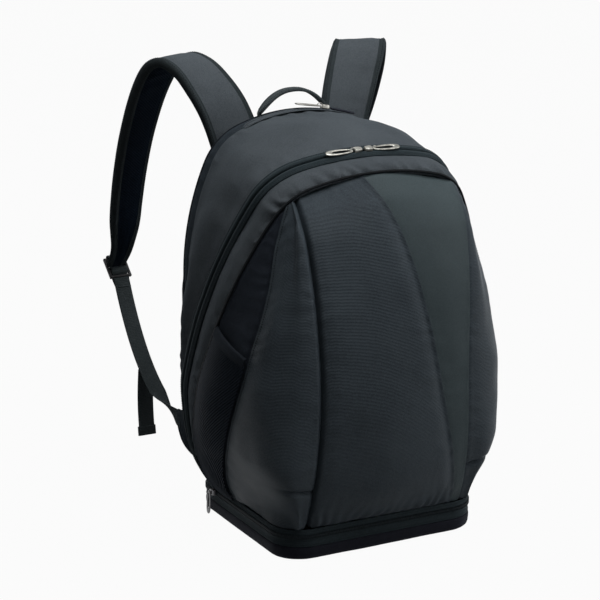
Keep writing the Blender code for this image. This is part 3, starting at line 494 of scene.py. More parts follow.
# Base: a shallow tray of coated cloth with a folded lower edge, closed by a zip that runs all the way round.
# The zip's tape is sewn to the tray below and to the body above, and its moulded teeth stand proud of it.
BASE_WALL_TOP, BASE_ZIP_TOP = 0.016, 0.038
TRAY_PROFILE = [(0.030, 0.0), (0.012, 0.0), (0.006, 0.0), (0.0028, 0.0006), (0.0010, 0.0022),
                (0.0002, 0.0046), (0.0, 0.007), (-0.0003, 0.010), (-0.0004, 0.013), (0.0, 0.0152),
                (0.0008, BASE_WALL_TOP), (0.0022, 0.0163), (0.0034, 0.0185), (0.0036, 0.0205)]
TRAY_THICK, TRAY_FLAT_ROWS, SOLE_TUCK = 0.0018, 3, 0.0008
TAPE_PROFILE = [(0.0012, 0.0163), (0.0002, 0.0168), (0.0, 0.0185), (0.0003, 0.0215), (0.0003, 0.0245),
                (-0.0001, 0.0252), (0.0, 0.030), (-0.0001, 0.0338), (0.0003, 0.0345), (0.0001, 0.0368),
                (0.0010, BASE_ZIP_TOP)]
BASE_TAPE_THICK = 0.0014
CHAIN_Z, TOOTH_TALL, TOOTH_WIDE, TOOTH_PROUD, TOOTH_PITCH = 0.0295, 0.0031, 0.0011, 0.0011, 0.0022
TOOTH_SUNK, TOOTH_DRAFT = 0.0006, 0.86


def round_base(profile):
    """Grid round the base through a profile of drawn-in widths and heights."""
    return np.array([base_ring(drawn_in, z) for drawn_in, z in profile])


def stitches(name, path, up, pitch=0.0031, length=0.0023, radius=0.00038):
    """A row of sewn stitches along a path: each a short thread with pointed ends, half sunk in the cloth."""
    far = lengths(path)
    at = np.arange(pitch / 2, far[-1], pitch)
    centre, ahead, out = (along_at(at, far, values) for values in (path, np.gradient(path, axis=0), up))
    ahead = unit(ahead)
    reach = (ahead * length / 2, unit(np.cross(ahead, out)) * radius, out * radius)
    points = np.stack([centre + hand * way for way in reach for hand in (-1, 1)], axis=1).reshape(-1, 3)
    one = np.array([(0, 2, 5), (0, 5, 3), (0, 3, 4), (0, 4, 2), (1, 5, 2), (1, 3, 5), (1, 4, 3), (1, 2, 4)])
    faces = (one[None] + 6 * np.arange(len(at))[:, None, None]).reshape(-1, 3)
    return piece_of(name, points, faces, (thread,))


def line_at(grid, out, axis, distance):
    """Path over a grid at a distance from its first edge, or from its last where that is negative."""
    lines, ways = (grid, out) if axis == 1 else (grid.swapaxes(0, 1), out.swapaxes(0, 1))
    path, up = [], []
    for points, normals, far in zip(lines, ways, run(lines, 1)):
        at = distance if distance >= 0 else far[-1] + distance
        path.append(along_at(at, far, points))
        up.append(along_at(at, far, normals))
    return np.array(path), np.array(up)


def teeth(name, path, out, made):
    """Interlocked moulded teeth along a path: two rows of small blocks, set half a pitch apart."""
    far = lengths(path)
    points, faces = [], []
    block = np.array([(0, 1, 3, 2), (4, 6, 7, 5), (0, 4, 5, 1), (2, 3, 7, 6), (0, 2, 6, 4), (1, 5, 7, 3)])
    for row, hand in enumerate((-1, 1)):
        for at in np.arange(TOOTH_PITCH * (0.25 + 0.5 * row), far[-1] - TOOTH_PITCH, TOOTH_PITCH):
            centre, way = along_at(at, far, path), along_at(at, far, out)
            along = np.cross((0, 0, 1), way)
            faces.append(block + len(points))
            for x in (-TOOTH_WIDE / 2, TOOTH_WIDE / 2):
                for proud, draft in ((-TOOTH_SUNK, 1.0), (TOOTH_PROUD, TOOTH_DRAFT)):
                    for tall in (-TOOTH_SUNK * hand, TOOTH_TALL * hand * draft):
                        points.append(centre + along * x + way * proud + np.array([0, 0, tall]))
    return piece_of(name, points, np.concatenate(faces), (made,))


thread = plain("sewing_thread", 0.6, (0.002, 0.003, 0.004), (0.012, 0.014, 0.016), 700)
coated = woven("coated_base_cloth", (0.006, 0.0065, 0.010), (0.017, 0.018, 0.025), 0.0012, 0.0002, rough=0.62)
zip_tape = woven("zip_tape_weave", (0.010, 0.015, 0.018), (0.034, 0.046, 0.052), 0.0009, 0.0002, rough=0.6,
                 rib=2.2)
tray_grid = round_base(TRAY_PROFILE)
tray_out = outward(tray_grid)
tray_cloth = sew(tray_grid, tray_out, (0, 0.0003, 0, 0), pucker=0.0003, slack=0.0005, size=0.09, seed=6)
tray_cloth[..., 2] = np.maximum(tray_cloth[..., 2], 0.0)
tray_cloth[:TRAY_FLAT_ROWS] = tray_grid[:TRAY_FLAT_ROWS]
fit(cloth("base_tray_wall", tray_cloth, tray_out, TRAY_THICK, coated, lining), "pack", "body_fabric",
    "base_tray")
sole_ring = base_ring(TRAY_PROFILE[0][0] - SOLE_TUCK, 0.0)[:-1]
sole_points = np.concatenate([sole_ring, sole_ring + (0, 0, TRAY_THICK)])
under = list(range(RING_POINTS))
sole_faces = [under[::-1], [i + RING_POINTS for i in under]]
sole_faces += [[a, b, b + RING_POINTS, a + RING_POINTS] for a, b in zip(under, under[1:] + under[:1])]
sole_cut = np.concatenate([sole_points[face, :2] for face in sole_faces])
fit(piece_of("base_tray_sole", sole_points, sole_faces, (coated,), cut=sole_cut), "pack", "body_fabric")
band_tape = round_base(TAPE_PROFILE)
band_tape_out = outward(band_tape)
fit(cloth("base_zip_tape_band", band_tape, band_tape_out, BASE_TAPE_THICK, zip_tape, zip_tape), "pack",
    "zip_tape", "base_zip_tape")
for edge, name in ((0.0032, "lower"), (-0.0030, "upper")):
    row, up = line_at(band_tape, band_tape_out, 0, edge)
    fit(stitches("base_zip_stitches_" + name, row, up), "pack", "zip_tape")
coil = plain("moulded_teeth", 0.6, (0.006, 0.009, 0.011), (0.020, 0.025, 0.029), 400)
chain_out = outward(round_base([(0.0, CHAIN_Z - 0.002), (0.0, CHAIN_Z)]))[1]
fit(teeth("base_zip_teeth", base_ring(0.0, CHAIN_Z), chain_out, coil), "pack", "zip_tape")

# Main zip: two ribbed tapes that meet over the coil, with rolled lips along the black slit between them.
# The rear tape is sewn to the gusset and the front one to the lid, each by a row of stitches near its edge.
LIP = [(0.0100, -0.0004), (0.0095, 0.0004), (0.0084, 0.0009), (0.0074, 0.0006), (0.0067, 0.0008),
       (0.0058, 0.0015), (0.0047, 0.0019), (0.0035, 0.0020), (0.0024, 0.0017), (0.0016, 0.0010),
       (0.0011, -0.0002), (0.0009, -0.0010)]
COIL_BED = [(0.0008, -0.0022), (-0.0004, -0.0027), (-0.0018, -0.0028)]
TAPE_THICK = 0.0012
STITCH_INSET = 0.0022


def zip_half(hand):
    """Grid over one tape: 1 for the front one, and -1 for the rear one, whose coil passes under the slit."""
    profile = LIP if hand > 0 else LIP + COIL_BED
    flat = np.array([tape_line(hand * offset) for offset, _ in profile])
    out = outward(flat)
    return flat + out * np.array([lift for _, lift in profile])[:, None, None], out


for hand, name, body in ((-1, "rear", "pack"), (1, "front", "front_lid")):
    tape_grid, tape_out = zip_half(hand)
    fit(cloth("main_zip_%s_tape" % name, tape_grid, tape_out, TAPE_THICK, zip_tape, zip_tape), body,
        "zip_tape", "main_zip_tape_" + name)
    row, up = line_at(tape_grid, tape_out, 0, STITCH_INSET)
    fit(stitches("main_zip_%s_stitches" % name, row, up, length=0.0020, radius=0.0006), body, "zip_tape")

# Front gusset: a strip of the charcoal cloth between the main zip and the face of the lid.
# It is gathered a little on the corded seam in front, where a thin black piping is caught between the cloths.
FRONT_TOP = 0.450
FRONT_HALF, FRONT_FOOT = 0.169, 0.1345
FRONT_TILT = math.radians(18)
FRONT_ARCH = (0.30, math.radians(16), 0.070, math.radians(60))
STRIP_SWELL = 0.002
CREASE_SPACING, CREASE_DEPTH, CREASE_REACH, CREASE_SEED = 0.021, 0.0024, 0.010, 8
CREASE_WIDE, CREASE_START = 0.0017, 0.002
RIDGE_AT, RIDGE_WIDE, RIDGE_SHARE = 0.004, 0.003, 0.6
PIPING_RADIUS, PIPING_CUT = 0.0017, 0.09
front_depth = [(0.038, 0.055), (0.09, 0.058), (0.13, 0.052), (0.19, 0.031), (0.23, 0.008), (0.27, -0.018),
               (0.31, -0.040), (0.355, -0.061), (0.402, -0.078), (0.437, -0.091), (FRONT_TOP, -0.095)]
front_line = outline(FRONT_HALF, FRONT_ARCH, FRONT_TOP, FRONT_TILT, FRONT_FOOT, front_depth)


def crease(grid, out):
    """Short sharp creases that leave the last row of a grid at uneven steps and fade away from it."""
    across, along = run(grid, 0), run(grid, 1)
    from_seam = across[-1:] - across
    from_start = 1 - np.exp(-(from_seam / CREASE_START)**2)
    lift = np.zeros(grid.shape[:2])
    for k in range(int(along[-1].max() / CREASE_SPACING)):
        jitter = noise.noise(Vector((k * 1.7, CREASE_SEED, 0.5)))
        lean = noise.noise(Vector((k * 2.3, CREASE_SEED, 7.5)))
        at = along[-1:] - (k + 0.5 + 0.8 * jitter) * CREASE_SPACING - 0.7 * lean * from_seam
        fade = np.exp(-from_seam / (CREASE_REACH * (1 + 0.8 * lean))) * from_start
        ridge = RIDGE_SHARE * np.exp(-((at - RIDGE_AT) / RIDGE_WIDE)**2)
        lift += CREASE_DEPTH * (0.5 + jitter) * (ridge - np.exp(-(at / CREASE_WIDE)**2)) * fade
    return grid + out * lift[..., None]


def threads(name, paths, radius, made, sides=6):
    """Round cords along paths, closed at their ends."""
    points, faces = [], []
    turn = np.linspace(0, 2 * math.pi, sides, endpoint=False)
    for path in paths:
        ahead = unit(np.gradient(path, axis=0))
        lean = np.where(np.abs(ahead[:, 1:2]) > 0.9, (1.0, 0.0, 0.0), (0.0, 1.0, 0.0))
        side = unit(np.cross(ahead, lean))
        up = np.cross(side, ahead)
        start = len(points)
        for k in range(len(path)):
            points += [path[k] + radius * (math.cos(a) * side[k] + math.sin(a) * up[k]) for a in turn]
        for first in range(start, len(points) - sides, sides):
            for i in range(sides):
                a, b = first + i, first + (i + 1) % sides
                faces.append([a, b, b + sides, a + sides])
        faces.append(list(range(start, start + sides))[::-1])
        faces.append(list(range(len(points) - sides, len(points))))
    return piece_of(name, points, faces, (made,))


strip_grid = loft(tape_line(TAPE_HALF), front_line, 26, STRIP_SWELL)
strip_out = outward(strip_grid)
strip_cloth = sew(strip_grid, strip_out, (0.0012, 0, 0, 0), pucker=0.0004, wave=0.030, slack=0.0009, seed=7)
strip_cloth = sew(strip_cloth, strip_out, (0, 0.0026, 0, 0), width=0.0034, pucker=0.0030, wave=0.023,
                  reach=0.009, slack=0.0, seed=8)
strip_cloth = crease(strip_cloth, strip_out)
fit(cloth("front_gusset_cloth", strip_cloth, strip_out, FABRIC, charcoal, lining), "front_lid", "body_fabric",
    "front_gusset")
piping_finish = plain("piping_cord", 0.6, (0.002, 0.003, 0.004), (0.008, 0.010, 0.012), 500)
piping_path = front_line.copy()
piping_path[[0, -1]] += PIPING_CUT * (piping_path[[1, -2]] - piping_path[[0, -1]])
fit(threads("front_piping_cord", [piping_path], PIPING_RADIUS, piping_finish, 8), "front_lid", "zip_tape",
    "front_piping")

# Face of the lid: dark side panels, ribbed front panels, a puffy centre panel and a smooth wedge by its fold.
# Every panel is cut from one flat sheet, sewn to its neighbours, and padded so that it swells between seams.
EDGE_LINE = [(0.0385, (0.1345, 0.000)), (0.06, (0.147, 0.000)), (0.097, (0.158, -0.016)),
             (0.126, (0.165, -0.035)), (0.17, (0.169, -0.060)), (0.215, (0.167, -0.080)),
             (0.245, (0.162, -0.087)), (0.29, (0.151, -0.096)), (0.333, (0.1395, -0.0965)),
             (0.375, (0.1290, -0.091)), (0.403, (0.1205, -0.089)), (0.4224, (0.1125, -0.0865))]
CORNER_LINE = [(0.0385, (0.118, -0.1103)), (0.055, (0.121, -0.1125)), (0.075, (0.130, -0.116)),
               (0.095, (0.141, -0.119)), (0.126, (0.151, -0.123)), (0.21, (0.148, -0.125)),
               (0.24, (0.142, -0.1235)), (0.305, (0.131, -0.120)), (0.357, (0.118, -0.114)),
               (0.400, (0.1108, -0.103)), (0.4259, (0.1085, -0.0873))]
GROOVE_LINE = [(0.0385, (0.103, -0.1195)), (0.07, (0.103, -0.130)), (0.12, (0.101, -0.142)),
               (0.20, (0.098, -0.146)), (0.30, (0.101, -0.140)), (0.38, (0.105, -0.123)),
               (0.405, (0.1055, -0.110)), (0.4292, (0.104, -0.0885))]
CENTRE_LINE = [(0.0385, (0.0, -0.123)), (0.07, (0.0, -0.143)), (0.12, (0.0, -0.153)), (0.20, (0.0, -0.156)),
               (0.28, (0.0, -0.151)), (0.36, (0.0, -0.141)), (0.42, (0.0, -0.120)), (0.449, (0.0, -0.0955))]
FOLD_LINE = [(0.0, 0.85), (0.085, 0.78), (0.245, 0.46), (0.384, 0.10), (0.46, -0.28)]
CROWN_HEIGHTS = np.array([0.418, 0.4224, 0.4259, 0.4292, 0.449])
LAST_LEVEL, CROWN_LEVEL = 0.402, 0.44
LEVEL_STEPS, CROWN_STEPS = 150, 16
BROW_RISE, BROW_FROM, BROW_REACH = 0.006, 0.33, 0.09
STATIONS, STATION_STEP = 8, 0.02
SEAT_INSET, SEAT_REACH = 0.0014, 0.022
SWELL_END = 0.03
ALLOWANCE, ALLOWANCE_DROP = 0.006, 0.008
DART_HEIGHT, DART_DEPTH, DART_WIDE = 0.087, 0.0046, 0.0023
DART_LENGTH, DART_FADE, DART_SLOPE = 0.040, 0.004, 0.16
THIN_REACH, THIN_SHARE = 0.03, 0.2
FACE_STITCH_INSET = 0.0030
levels = np.linspace(FOOT_Z, LAST_LEVEL, LEVEL_STEPS)
levels = np.concatenate([levels, np.linspace(LAST_LEVEL, CROWN_LEVEL, CROWN_STEPS)[1:]])
fold_station = STATIONS / 2 + smooth(levels, FOLD_LINE)
seat_ring = base_ring(SEAT_INSET, FOOT_Z)[:-1]
seat_angles = np.arctan2(seat_ring[:, 1], seat_ring[:, 0])
seat_radii = np.hypot(seat_ring[:, 0], seat_ring[:, 1])


def level_heights(levels):
    """Five heights across half the front for each level; past the last one they climb to the crown seam."""
    low = np.minimum(levels, LAST_LEVEL)
    lift = BROW_RISE * np.maximum(0.0, (low - BROW_FROM) / BROW_REACH)
    heights = np.stack([low, low, low, low + 0.3 * lift, low + lift], axis=1)
    climb = np.clip((levels - LAST_LEVEL) / (CROWN_LEVEL - LAST_LEVEL), 0, 1)[:, None]
    return heights * (1 - climb) + CROWN_HEIGHTS * climb


def front_controls(heights):
    """Nine points across the front for each row of five heights, left to right."""
    right = front_line[len(front_line) // 2:][::-1]
    seam_x = np.interp(heights[:, 0], right[:, 2], right[:, 0])
    half = [np.stack([seam_x, smooth(heights[:, 0], front_depth)], axis=1)]
    for k, line in enumerate((EDGE_LINE, CORNER_LINE, GROOVE_LINE, CENTRE_LINE)):
        half.append(smooth(heights[:, k + 1], line))
    half = np.concatenate([np.stack(half, axis=1), heights[..., None]], axis=2)
    return np.concatenate([half[:, :-1] * (-1, 1, 1), half[:, ::-1]], axis=1)


def front_points(heights, stations):
    """Points of the front, one row for each row of heights; stations count its controls from the left."""
    points = front_controls(heights)
    slope = np.gradient(points, axis=1)
    i = np.clip(np.floor(stations).astype(int), 0, points.shape[1] - 2)
    rows = np.arange(len(points))[:, None]
    near, far = points[rows, i], points[rows, i + 1]
    most = 3 * np.linalg.norm(far - near, axis=2, keepdims=True)
    leave, arrive = (way * np.minimum(1, most / np.maximum(np.linalg.norm(way, axis=2, keepdims=True), 1e-9))
                     for way in (slope[rows, i], slope[rows, i + 1]))
    return between((stations - i)[..., None], near, far, leave, arrive)


def seat(grid):
    """Foot of a panel drawn out to the top of the base zip, where the two are sewn together."""
    angle, radius = np.arctan2(grid[..., 1], grid[..., 0]), np.hypot(grid[..., 0], grid[..., 1])
    ring = np.interp(angle, seat_angles, seat_radii, period=2 * math.pi)
    share = np.clip(1 - (grid[..., 2] - FOOT_Z) / SEAT_REACH, 0, 1)**2
    moved = grid.copy()
    moved[..., :2] *= (1 + (np.maximum(ring / radius, 1) - 1) * share)[..., None]
    return moved


def front_sheet(first, last, columns):
    """Grid over one panel of the front between two stations, which may change with height."""
    even = np.linspace(0, 1, columns)
    share = 0.4 * even + 0.3 * (1 - np.cos(math.pi * even))
    first, last = (np.broadcast_to(edge, levels.shape)[:, None] for edge in (first, last))
    stations = first + (last - first) * share
    heights = level_heights(levels)
    grid = front_points(heights, stations)
    beside, before = (front_points(heights, np.clip(stations + step, 0, STATIONS))
                      for step in (STATION_STEP, -STATION_STEP))
    out = unit(np.cross(np.gradient(grid, axis=0), beside - before))
    return seat(grid), out * np.sign(np.sum(out * (grid - PACK_MIDDLE), axis=2).mean())


def swell(grid, out, rise, reach):
    """Padding behind a panel: it stands out by a rise once it is a reach away from each of its side seams."""
    along, up = run(grid, 1), run(grid, 0)
    lift = rise * np.ones(grid.shape[:2])
    seams = ((along, reach), (along[:, -1:] - along, reach), (up, SWELL_END), (up[-1:] - up, SWELL_END))
    for far, length in seams:
        lift = lift * (1 - np.exp(-(far / length)**2))
    return grid + out * lift[..., None]


def dart(grid, out, from_groove):
    """Short sewn dart near the foot of a front panel, running in from one of its side seams."""
    inward = run(grid, 1) if from_groove else run(grid, 1)[:, -1:] - run(grid, 1)
    fade = 1 / (1 + np.exp((inward - DART_LENGTH) / DART_FADE))
    climb = grid[..., 2] - DART_HEIGHT - DART_SLOPE * inward
    return grid - out * (DART_DEPTH * fade * np.exp(-(climb / DART_WIDE)**2))[..., None]


def turn_in(grid, out, axis, last):
    """Seam allowance: one more row or column past an edge, turned in behind the cloth that it is sewn to."""
    lines, ways = (grid, out) if axis == 0 else (grid.swapaxes(0, 1), out.swapaxes(0, 1))
    edge, before = (-1, -3) if last else (0, 2)
    past = unit(lines[edge] - lines[before])
    turned = (lines[edge] + past * ALLOWANCE - ways[edge] * ALLOWANCE_DROP)[None]
    lines = np.concatenate([lines, turned] if last else [turned, lines])
    ways = np.concatenate([ways, ways[-1:]] if last else [ways[:1], ways])
    return (lines, ways) if axis == 0 else (lines.swapaxes(0, 1), ways.swapaxes(0, 1))


def panel(name, grid, out, thick, made, slot, turned=None):
    """Panel of the lid, its top seam turned in, and its last or first column if turned is True or False."""
    grid, out = turn_in(grid, out, 0, True)
    if turned is not None:
        grid, out = turn_in(grid, out, 1, turned)
    fit(cloth(name + "_cloth", grid, out, thick, made, lining), "front_lid", slot, name)


rib_cloth = woven("ribbed_face_cloth", (0.016, 0.022, 0.028), (0.056, 0.070, 0.082), 0.0017, 0.00030,
                  rough=0.44, mottle=6.0, specular=0.06, rows=True)
satin = woven("smooth_wedge_cloth", (0.030, 0.041, 0.045), (0.054, 0.072, 0.078), 0.0006, 0.00005, rough=0.46,
              mottle=5.0, specular=0.07)
side_cloth = woven("dark_side_cloth", (0.010, 0.013, 0.019), (0.030, 0.036, 0.047), 0.0010, 0.0003)
for name, first, last, dips in (("left", 0.0, 1.0, (0.0026, 0.0016)), ("right", 7.0, 8.0, (0.0016, 0.0026))):
    side_grid, side_out = front_sheet(first, last, 34)
    side_grid = sew(side_grid, side_out, (0.0012, 0.0012, *dips), slack=0.0012, seed=10)
    panel("side_panel_" + name, side_grid, side_out, FABRIC, side_cloth, "lining", name == "right")

face_thick = np.clip((CROWN_LEVEL - np.append(levels, CROWN_LEVEL)) / THIN_REACH, THIN_SHARE, 1.0)
face_thick = FABRIC * face_thick[:, None, None]
for name, first, last, dips in (("left", 1.0, 3.0, (-0.0004, 0.0042)),
                                ("right", 5.0, 7.0, (0.0010, -0.0004))):
    is_left = name == "left"
    face_grid, face_out = front_sheet(first, last, 56)
    face_grid = swell(face_grid, face_out, 0.002, 0.016)
    face_grid = sew(face_grid, face_out, (0.0012, 0.0014, *dips), width=0.0026, pucker=0.0006, wave=0.020,
                    slack=0.0014, size=0.075, seed=11 + is_left)
    face_grid = dart(face_grid, face_out, not is_left)
    row, up = line_at(face_grid, face_out, 1, FACE_STITCH_INSET if is_left else -FACE_STITCH_INSET)
    fit(stitches("front_panel_%s_stitches" % name, row, up, pitch=0.0030, length=0.0019, radius=0.0008),
        "front_lid", "body_fabric")
    panel("front_panel_" + name, face_grid, face_out, face_thick, rib_cloth, "body_fabric", is_left)

centre_grid, centre_out = front_sheet(3.0, fold_station, 84)
centre_grid = swell(centre_grid, centre_out, 0.0030, 0.012)
centre_grid = sew(centre_grid, centre_out, (0, 0.0014, 0.0085, -0.0014), width=0.0036, pucker=0.0007,
                  wave=0.022, slack=0.0012, size=0.08, seed=14)
centre_grid = sew(centre_grid, centre_out, (0.0014, 0, 0, 0), pucker=0.0022, wave=0.0135, reach=0.016,
                  slack=0.0, seed=15)
panel("centre_panel", centre_grid, centre_out, FABRIC, rib_cloth, "body_fabric")

wedge_grid, wedge_out = front_sheet(fold_station, 5.0, 48)
wedge_grid = swell(wedge_grid, wedge_out, 0.0012, 0.022)
wedge_grid = sew(wedge_grid, wedge_out, (0.0014, 0.0012, 0.0004, -0.0003), pucker=0.0003, wave=0.03,
                 slack=0.0009, size=0.09, seed=16)
panel("wedge_panel", wedge_grid, wedge_out, FABRIC, satin, "body_fabric")

# Side pockets: an open knitted net over the dark side panels, hemmed at the mouth with flat elastic.
# The net's thick ribs climb forward and thin threads cross them; the foot and sides are caught in the seams.
POCKET_TOP, HEM_SLANT = 0.243, 0.026
POCKET_FIRST, POCKET_LAST = 0.06, 0.985
POCKET_ROOM, POCKET_SWELL = 0.0034, 0.011
HEM_PULL, HEM_PULL_FROM = 0.55, 0.6
HEIGHT_STEP = 0.004
NET_SLANT, NET_RIBS, NET_CROSSES, NET_BELOW_HEM = 0.62, 62, 84, 0.004
RIB_RADIUS, CROSS_RADIUS, CROSS_SUNK = 0.00080, 0.00036, 0.0004
HEM_PROFILE = [(0.2335, 0.0006), (0.2342, 0.0017), (0.2358, 0.0021), (0.2380, 0.0017), (0.2420, 0.0020),
               (0.2442, 0.0016), (0.2450, 0.0005)]
HEM_COLUMNS, HEM_THICK, HEM_STITCH = 44, 0.0017, 0.0026


def pocket_points(heights, shares, lift):
    """Points of a left pocket at heights of its front edge and shares of its width, raised by a lift."""
    heights, shares = np.asarray(heights, float), np.asarray(shares, float)
    stations = POCKET_FIRST + (POCKET_LAST - POCKET_FIRST) * shares
    up = (heights - FOOT_Z) / (POCKET_TOP - FOOT_Z)
    raised = level_heights((heights + HEM_SLANT * (1 - stations) * np.maximum(up, 0)).ravel())
    flat = stations.ravel()[:, None]
    point = seat(front_points(raised, flat)[:, 0])
    beside = front_points(raised, flat + STATION_STEP)[:, 0] - front_points(raised, flat - STATION_STEP)[:, 0]
    above = front_points(raised + HEIGHT_STEP, flat)[:, 0] - front_points(raised - HEIGHT_STEP, flat)[:, 0]
    away = unit(np.cross(beside, above))
    away *= np.sign(-away[:, :1])
    taut = np.clip((up - HEM_PULL_FROM) / (1 - HEM_PULL_FROM), 0, 1)**2
    slack = np.minimum(1, 1.6 * np.maximum(up, 0)) * (1 - HEM_PULL * taut)
    swollen = POCKET_ROOM + POCKET_SWELL * slack * np.sin(math.pi * shares) + lift
    return (point + away * swollen.reshape(-1, 1)).reshape(*heights.shape, 3), away.reshape(*heights.shape, 3)


def net_paths(count, slant, lift):
    """Slanted threads of the net from one edge to another, as paths over the left pocket."""
    paths = []
    share = np.linspace(0, 1, 46)
    for start in np.linspace(-abs(slant), 1, count):
        climb = start + abs(slant) * (share if slant > 0 else 1 - share)
        kept = (climb >= -0.001) & (climb <= 1.0)
        if kept.sum() > 3:
            heights = FOOT_Z + (POCKET_TOP - NET_BELOW_HEM - FOOT_Z) * climb[kept]
            paths.append(pocket_points(heights, share[kept], lift)[0])
    return paths


net_yarn = plain("net_yarn", 0.7, (0.002, 0.003, 0.005), (0.008, 0.011, 0.015), 600, specular=0.03)
rib_yarn = plain("net_rib_yarn", 0.6, (0.006, 0.009, 0.014), (0.026, 0.034, 0.046), 600, specular=0.05)
elastic = woven("hem_elastic", (0.006, 0.008, 0.011), (0.020, 0.024, 0.030), 0.0011, 0.0003, rib=2.4)
ribs = net_paths(NET_RIBS, NET_SLANT, 0.0)
crosses = net_paths(NET_CROSSES, -NET_SLANT, -CROSS_SUNK)
hem_z, hem_lift = np.array(HEM_PROFILE).T
hem_heights, hem_shares = np.meshgrid(hem_z, np.linspace(0, 1, HEM_COLUMNS), indexing="ij")
hem_lift = np.repeat(hem_lift[:, None], HEM_COLUMNS, axis=1)
hem_grid, hem_out = pocket_points(hem_heights, hem_shares, hem_lift)
for name, hand in (("left", 1), ("right", -1)):
    mirror = np.array([hand, 1.0, 1.0])
    pocket, hem = "mesh_pocket_" + name, "pocket_hem_" + name
    fit(threads(pocket + "_ribs", [path * mirror for path in ribs], RIB_RADIUS, rib_yarn, 5), "front_lid",
        "mesh", pocket)
    fit(threads(pocket + "_crosses", [path * mirror for path in crosses], CROSS_RADIUS, net_yarn, 4),
        "front_lid", "mesh")
    grid, out = hem_grid * mirror, hem_out * mirror
    fit(cloth(hem + "_band", grid, out, HEM_THICK, elastic, elastic), "front_lid", "webbing", hem)
    fit(stitches(hem + "_stitches", *line_at(grid, out, 0, HEM_STITCH)), "front_lid", "webbing")

# Rear zip over the sleeve for rackets: a ribbed tape on the crown of the band, with its slit down the middle.
# A little leaf of cloth is sewn over the end of the slit, where the slider parks.
HALF_LIP = [(0.0065, 0.0008), (0.0060, 0.0014), (0.0045, 0.0014), (0.0032, 0.0016), (0.0022, 0.0021),
            (0.0012, 0.0020), (0.0005, 0.0003)]
REAR_TAPE_THICK, REAR_TAPE_SINK, REAR_STITCH = 0.0009, 0.003, 0.0014
COVER_FROM, COVER_TO, COVER_STEPS = 11.4, 20.2, 26
COVER_HALF, COVER_LIFT, COVER_CROWN, COVER_THICK = 0.0058, 0.0026, 0.0016, 0.0011
crown_low = BACK_TOP - BACK_ARCH[0]


def crown_arc(angles, depth, lift):
    """Path along the crown of the rear seam, moved back by a depth and raised by a lift."""
    radius = BACK_ARCH[0] + lift
    y = np.full_like(angles, SEAM_Y) + depth
    return np.stack([radius * np.sin(angles), y, crown_low + radius * np.cos(angles)], axis=1)


tape_angles = np.linspace(-BACK_ARCH[1], BACK_ARCH[1], 90)
tape_sink = REAR_TAPE_SINK * np.abs(tape_angles / BACK_ARCH[1])**12
rear_lip = HALF_LIP + [(-depth, lift) for depth, lift in HALF_LIP[::-1]]
rear_tape = np.array([crown_arc(tape_angles, depth, lift - tape_sink) for depth, lift in rear_lip])
rear_tape_out = outward(rear_tape)
fit(cloth("rear_zip_tape_band", rear_tape, rear_tape_out, REAR_TAPE_THICK, charcoal, zip_tape), "pack",
    "zip_tape", "rear_zip_tape")
for edge, name in ((REAR_STITCH, "back"), (-REAR_STITCH, "front")):
    row, up = line_at(rear_tape, rear_tape_out, 0, edge)
    fit(stitches("rear_zip_stitches_" + name, row, up), "pack", "zip_tape")
cover_angles = np.radians(np.linspace(COVER_FROM, COVER_TO, COVER_STEPS))
leaf = COVER_HALF * np.sin(math.pi * np.linspace(0.12, 0.94, COVER_STEPS))**0.6
cover_grid = np.array([crown_arc(cover_angles, share * leaf, COVER_LIFT + COVER_CROWN * (1 - share**2))
                       for share in np.linspace(-1, 1, 15)])
cover_out = outward(cover_grid)
fit(cloth("rear_zip_cover_leaf", cover_grid, cover_out, COVER_THICK, coated, lining), "pack", "body_fabric",
    "rear_zip_cover")

# Sliders and pulls: cast zinc with a satin nickel finish, the lower one plated darker.
# A wire bail stands on each slider and passes through the slot of its pull, so the pull turns about it.
PULL_LENGTH, BASE_PULL_LENGTH, PULL_HALF, PULL_THICK = 0.036, 0.030, 0.0055, 0.0018
PULL_STEPS, PULL_NARROW, PULL_BACK = 64, 0.74, 0.0015
SLOT_FROM, SLOT_LONG, SLOT_WIDE = 0.0024, 0.66, 0.42
RIM_SECTION = [(0.0, 0.35), (0.10, 0.80), (0.30, 1.0), (0.70, 1.0), (0.90, 0.80), (1.0, 0.35)]
BAIL_RADIUS, WIRE_RADIUS = 0.0037, 0.0005
CROWN_BAIL, BASE_BAIL = (-14, 176), (-70, 250)
SLIDER_ROUND, SHARP_MOULD = 0.0009, 40
MAIN_PIVOT = (0.01446, -0.06213, 0.47031)
REAR_PIVOT = (0.02912, 0.098, 0.49204)
BASE_PIVOT = (-0.1412, 0.066, 0.031)
MAIN_REST, REAR_REST = math.radians(1.2), math.radians(9.4)
BASE_PULL_WAY, BASE_PULL_OUT = (-0.0599, 0.0, -0.9982), (-0.9982, 0.0, 0.0599)


def metal(name, dark, pale, rough):
    """Plated metal, with faint clouds and fine rubbed scratches."""
    made = plain(name, rough, dark, pale, 220, 4.0, specular=0.3, metallic=1.0)
    relief(made, cloudy(made, 2600, 2.0), 0.00004)
    return made


def moulded(name, node, width, made):
    """A rigid solid with its edges rounded, as it leaves its mould."""
    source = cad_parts[node]
    shape = bmesh.new()
    shape.from_mesh(source.data)
    shape.transform(source.matrix_world)
    bmesh.ops.remove_doubles(shape, verts=shape.verts, dist=1e-6)
    bmesh.ops.dissolve_limit(shape, angle_limit=math.radians(2), verts=shape.verts, edges=shape.edges)
    sharp = [edge for edge in shape.edges if edge.is_manifold and edge.calc_face_angle(0) > math.radians(25)]
    bmesh.ops.bevel(shape, geom=sharp, offset=width, segments=3, profile=0.6, affect="EDGES",
                    clamp_overlap=True)
    mesh = bpy.data.meshes.new(name)
    shape.to_mesh(mesh)
    shape.free()
    mesh.materials.append(made)
    return shown(name, mesh, SHARP_MOULD)


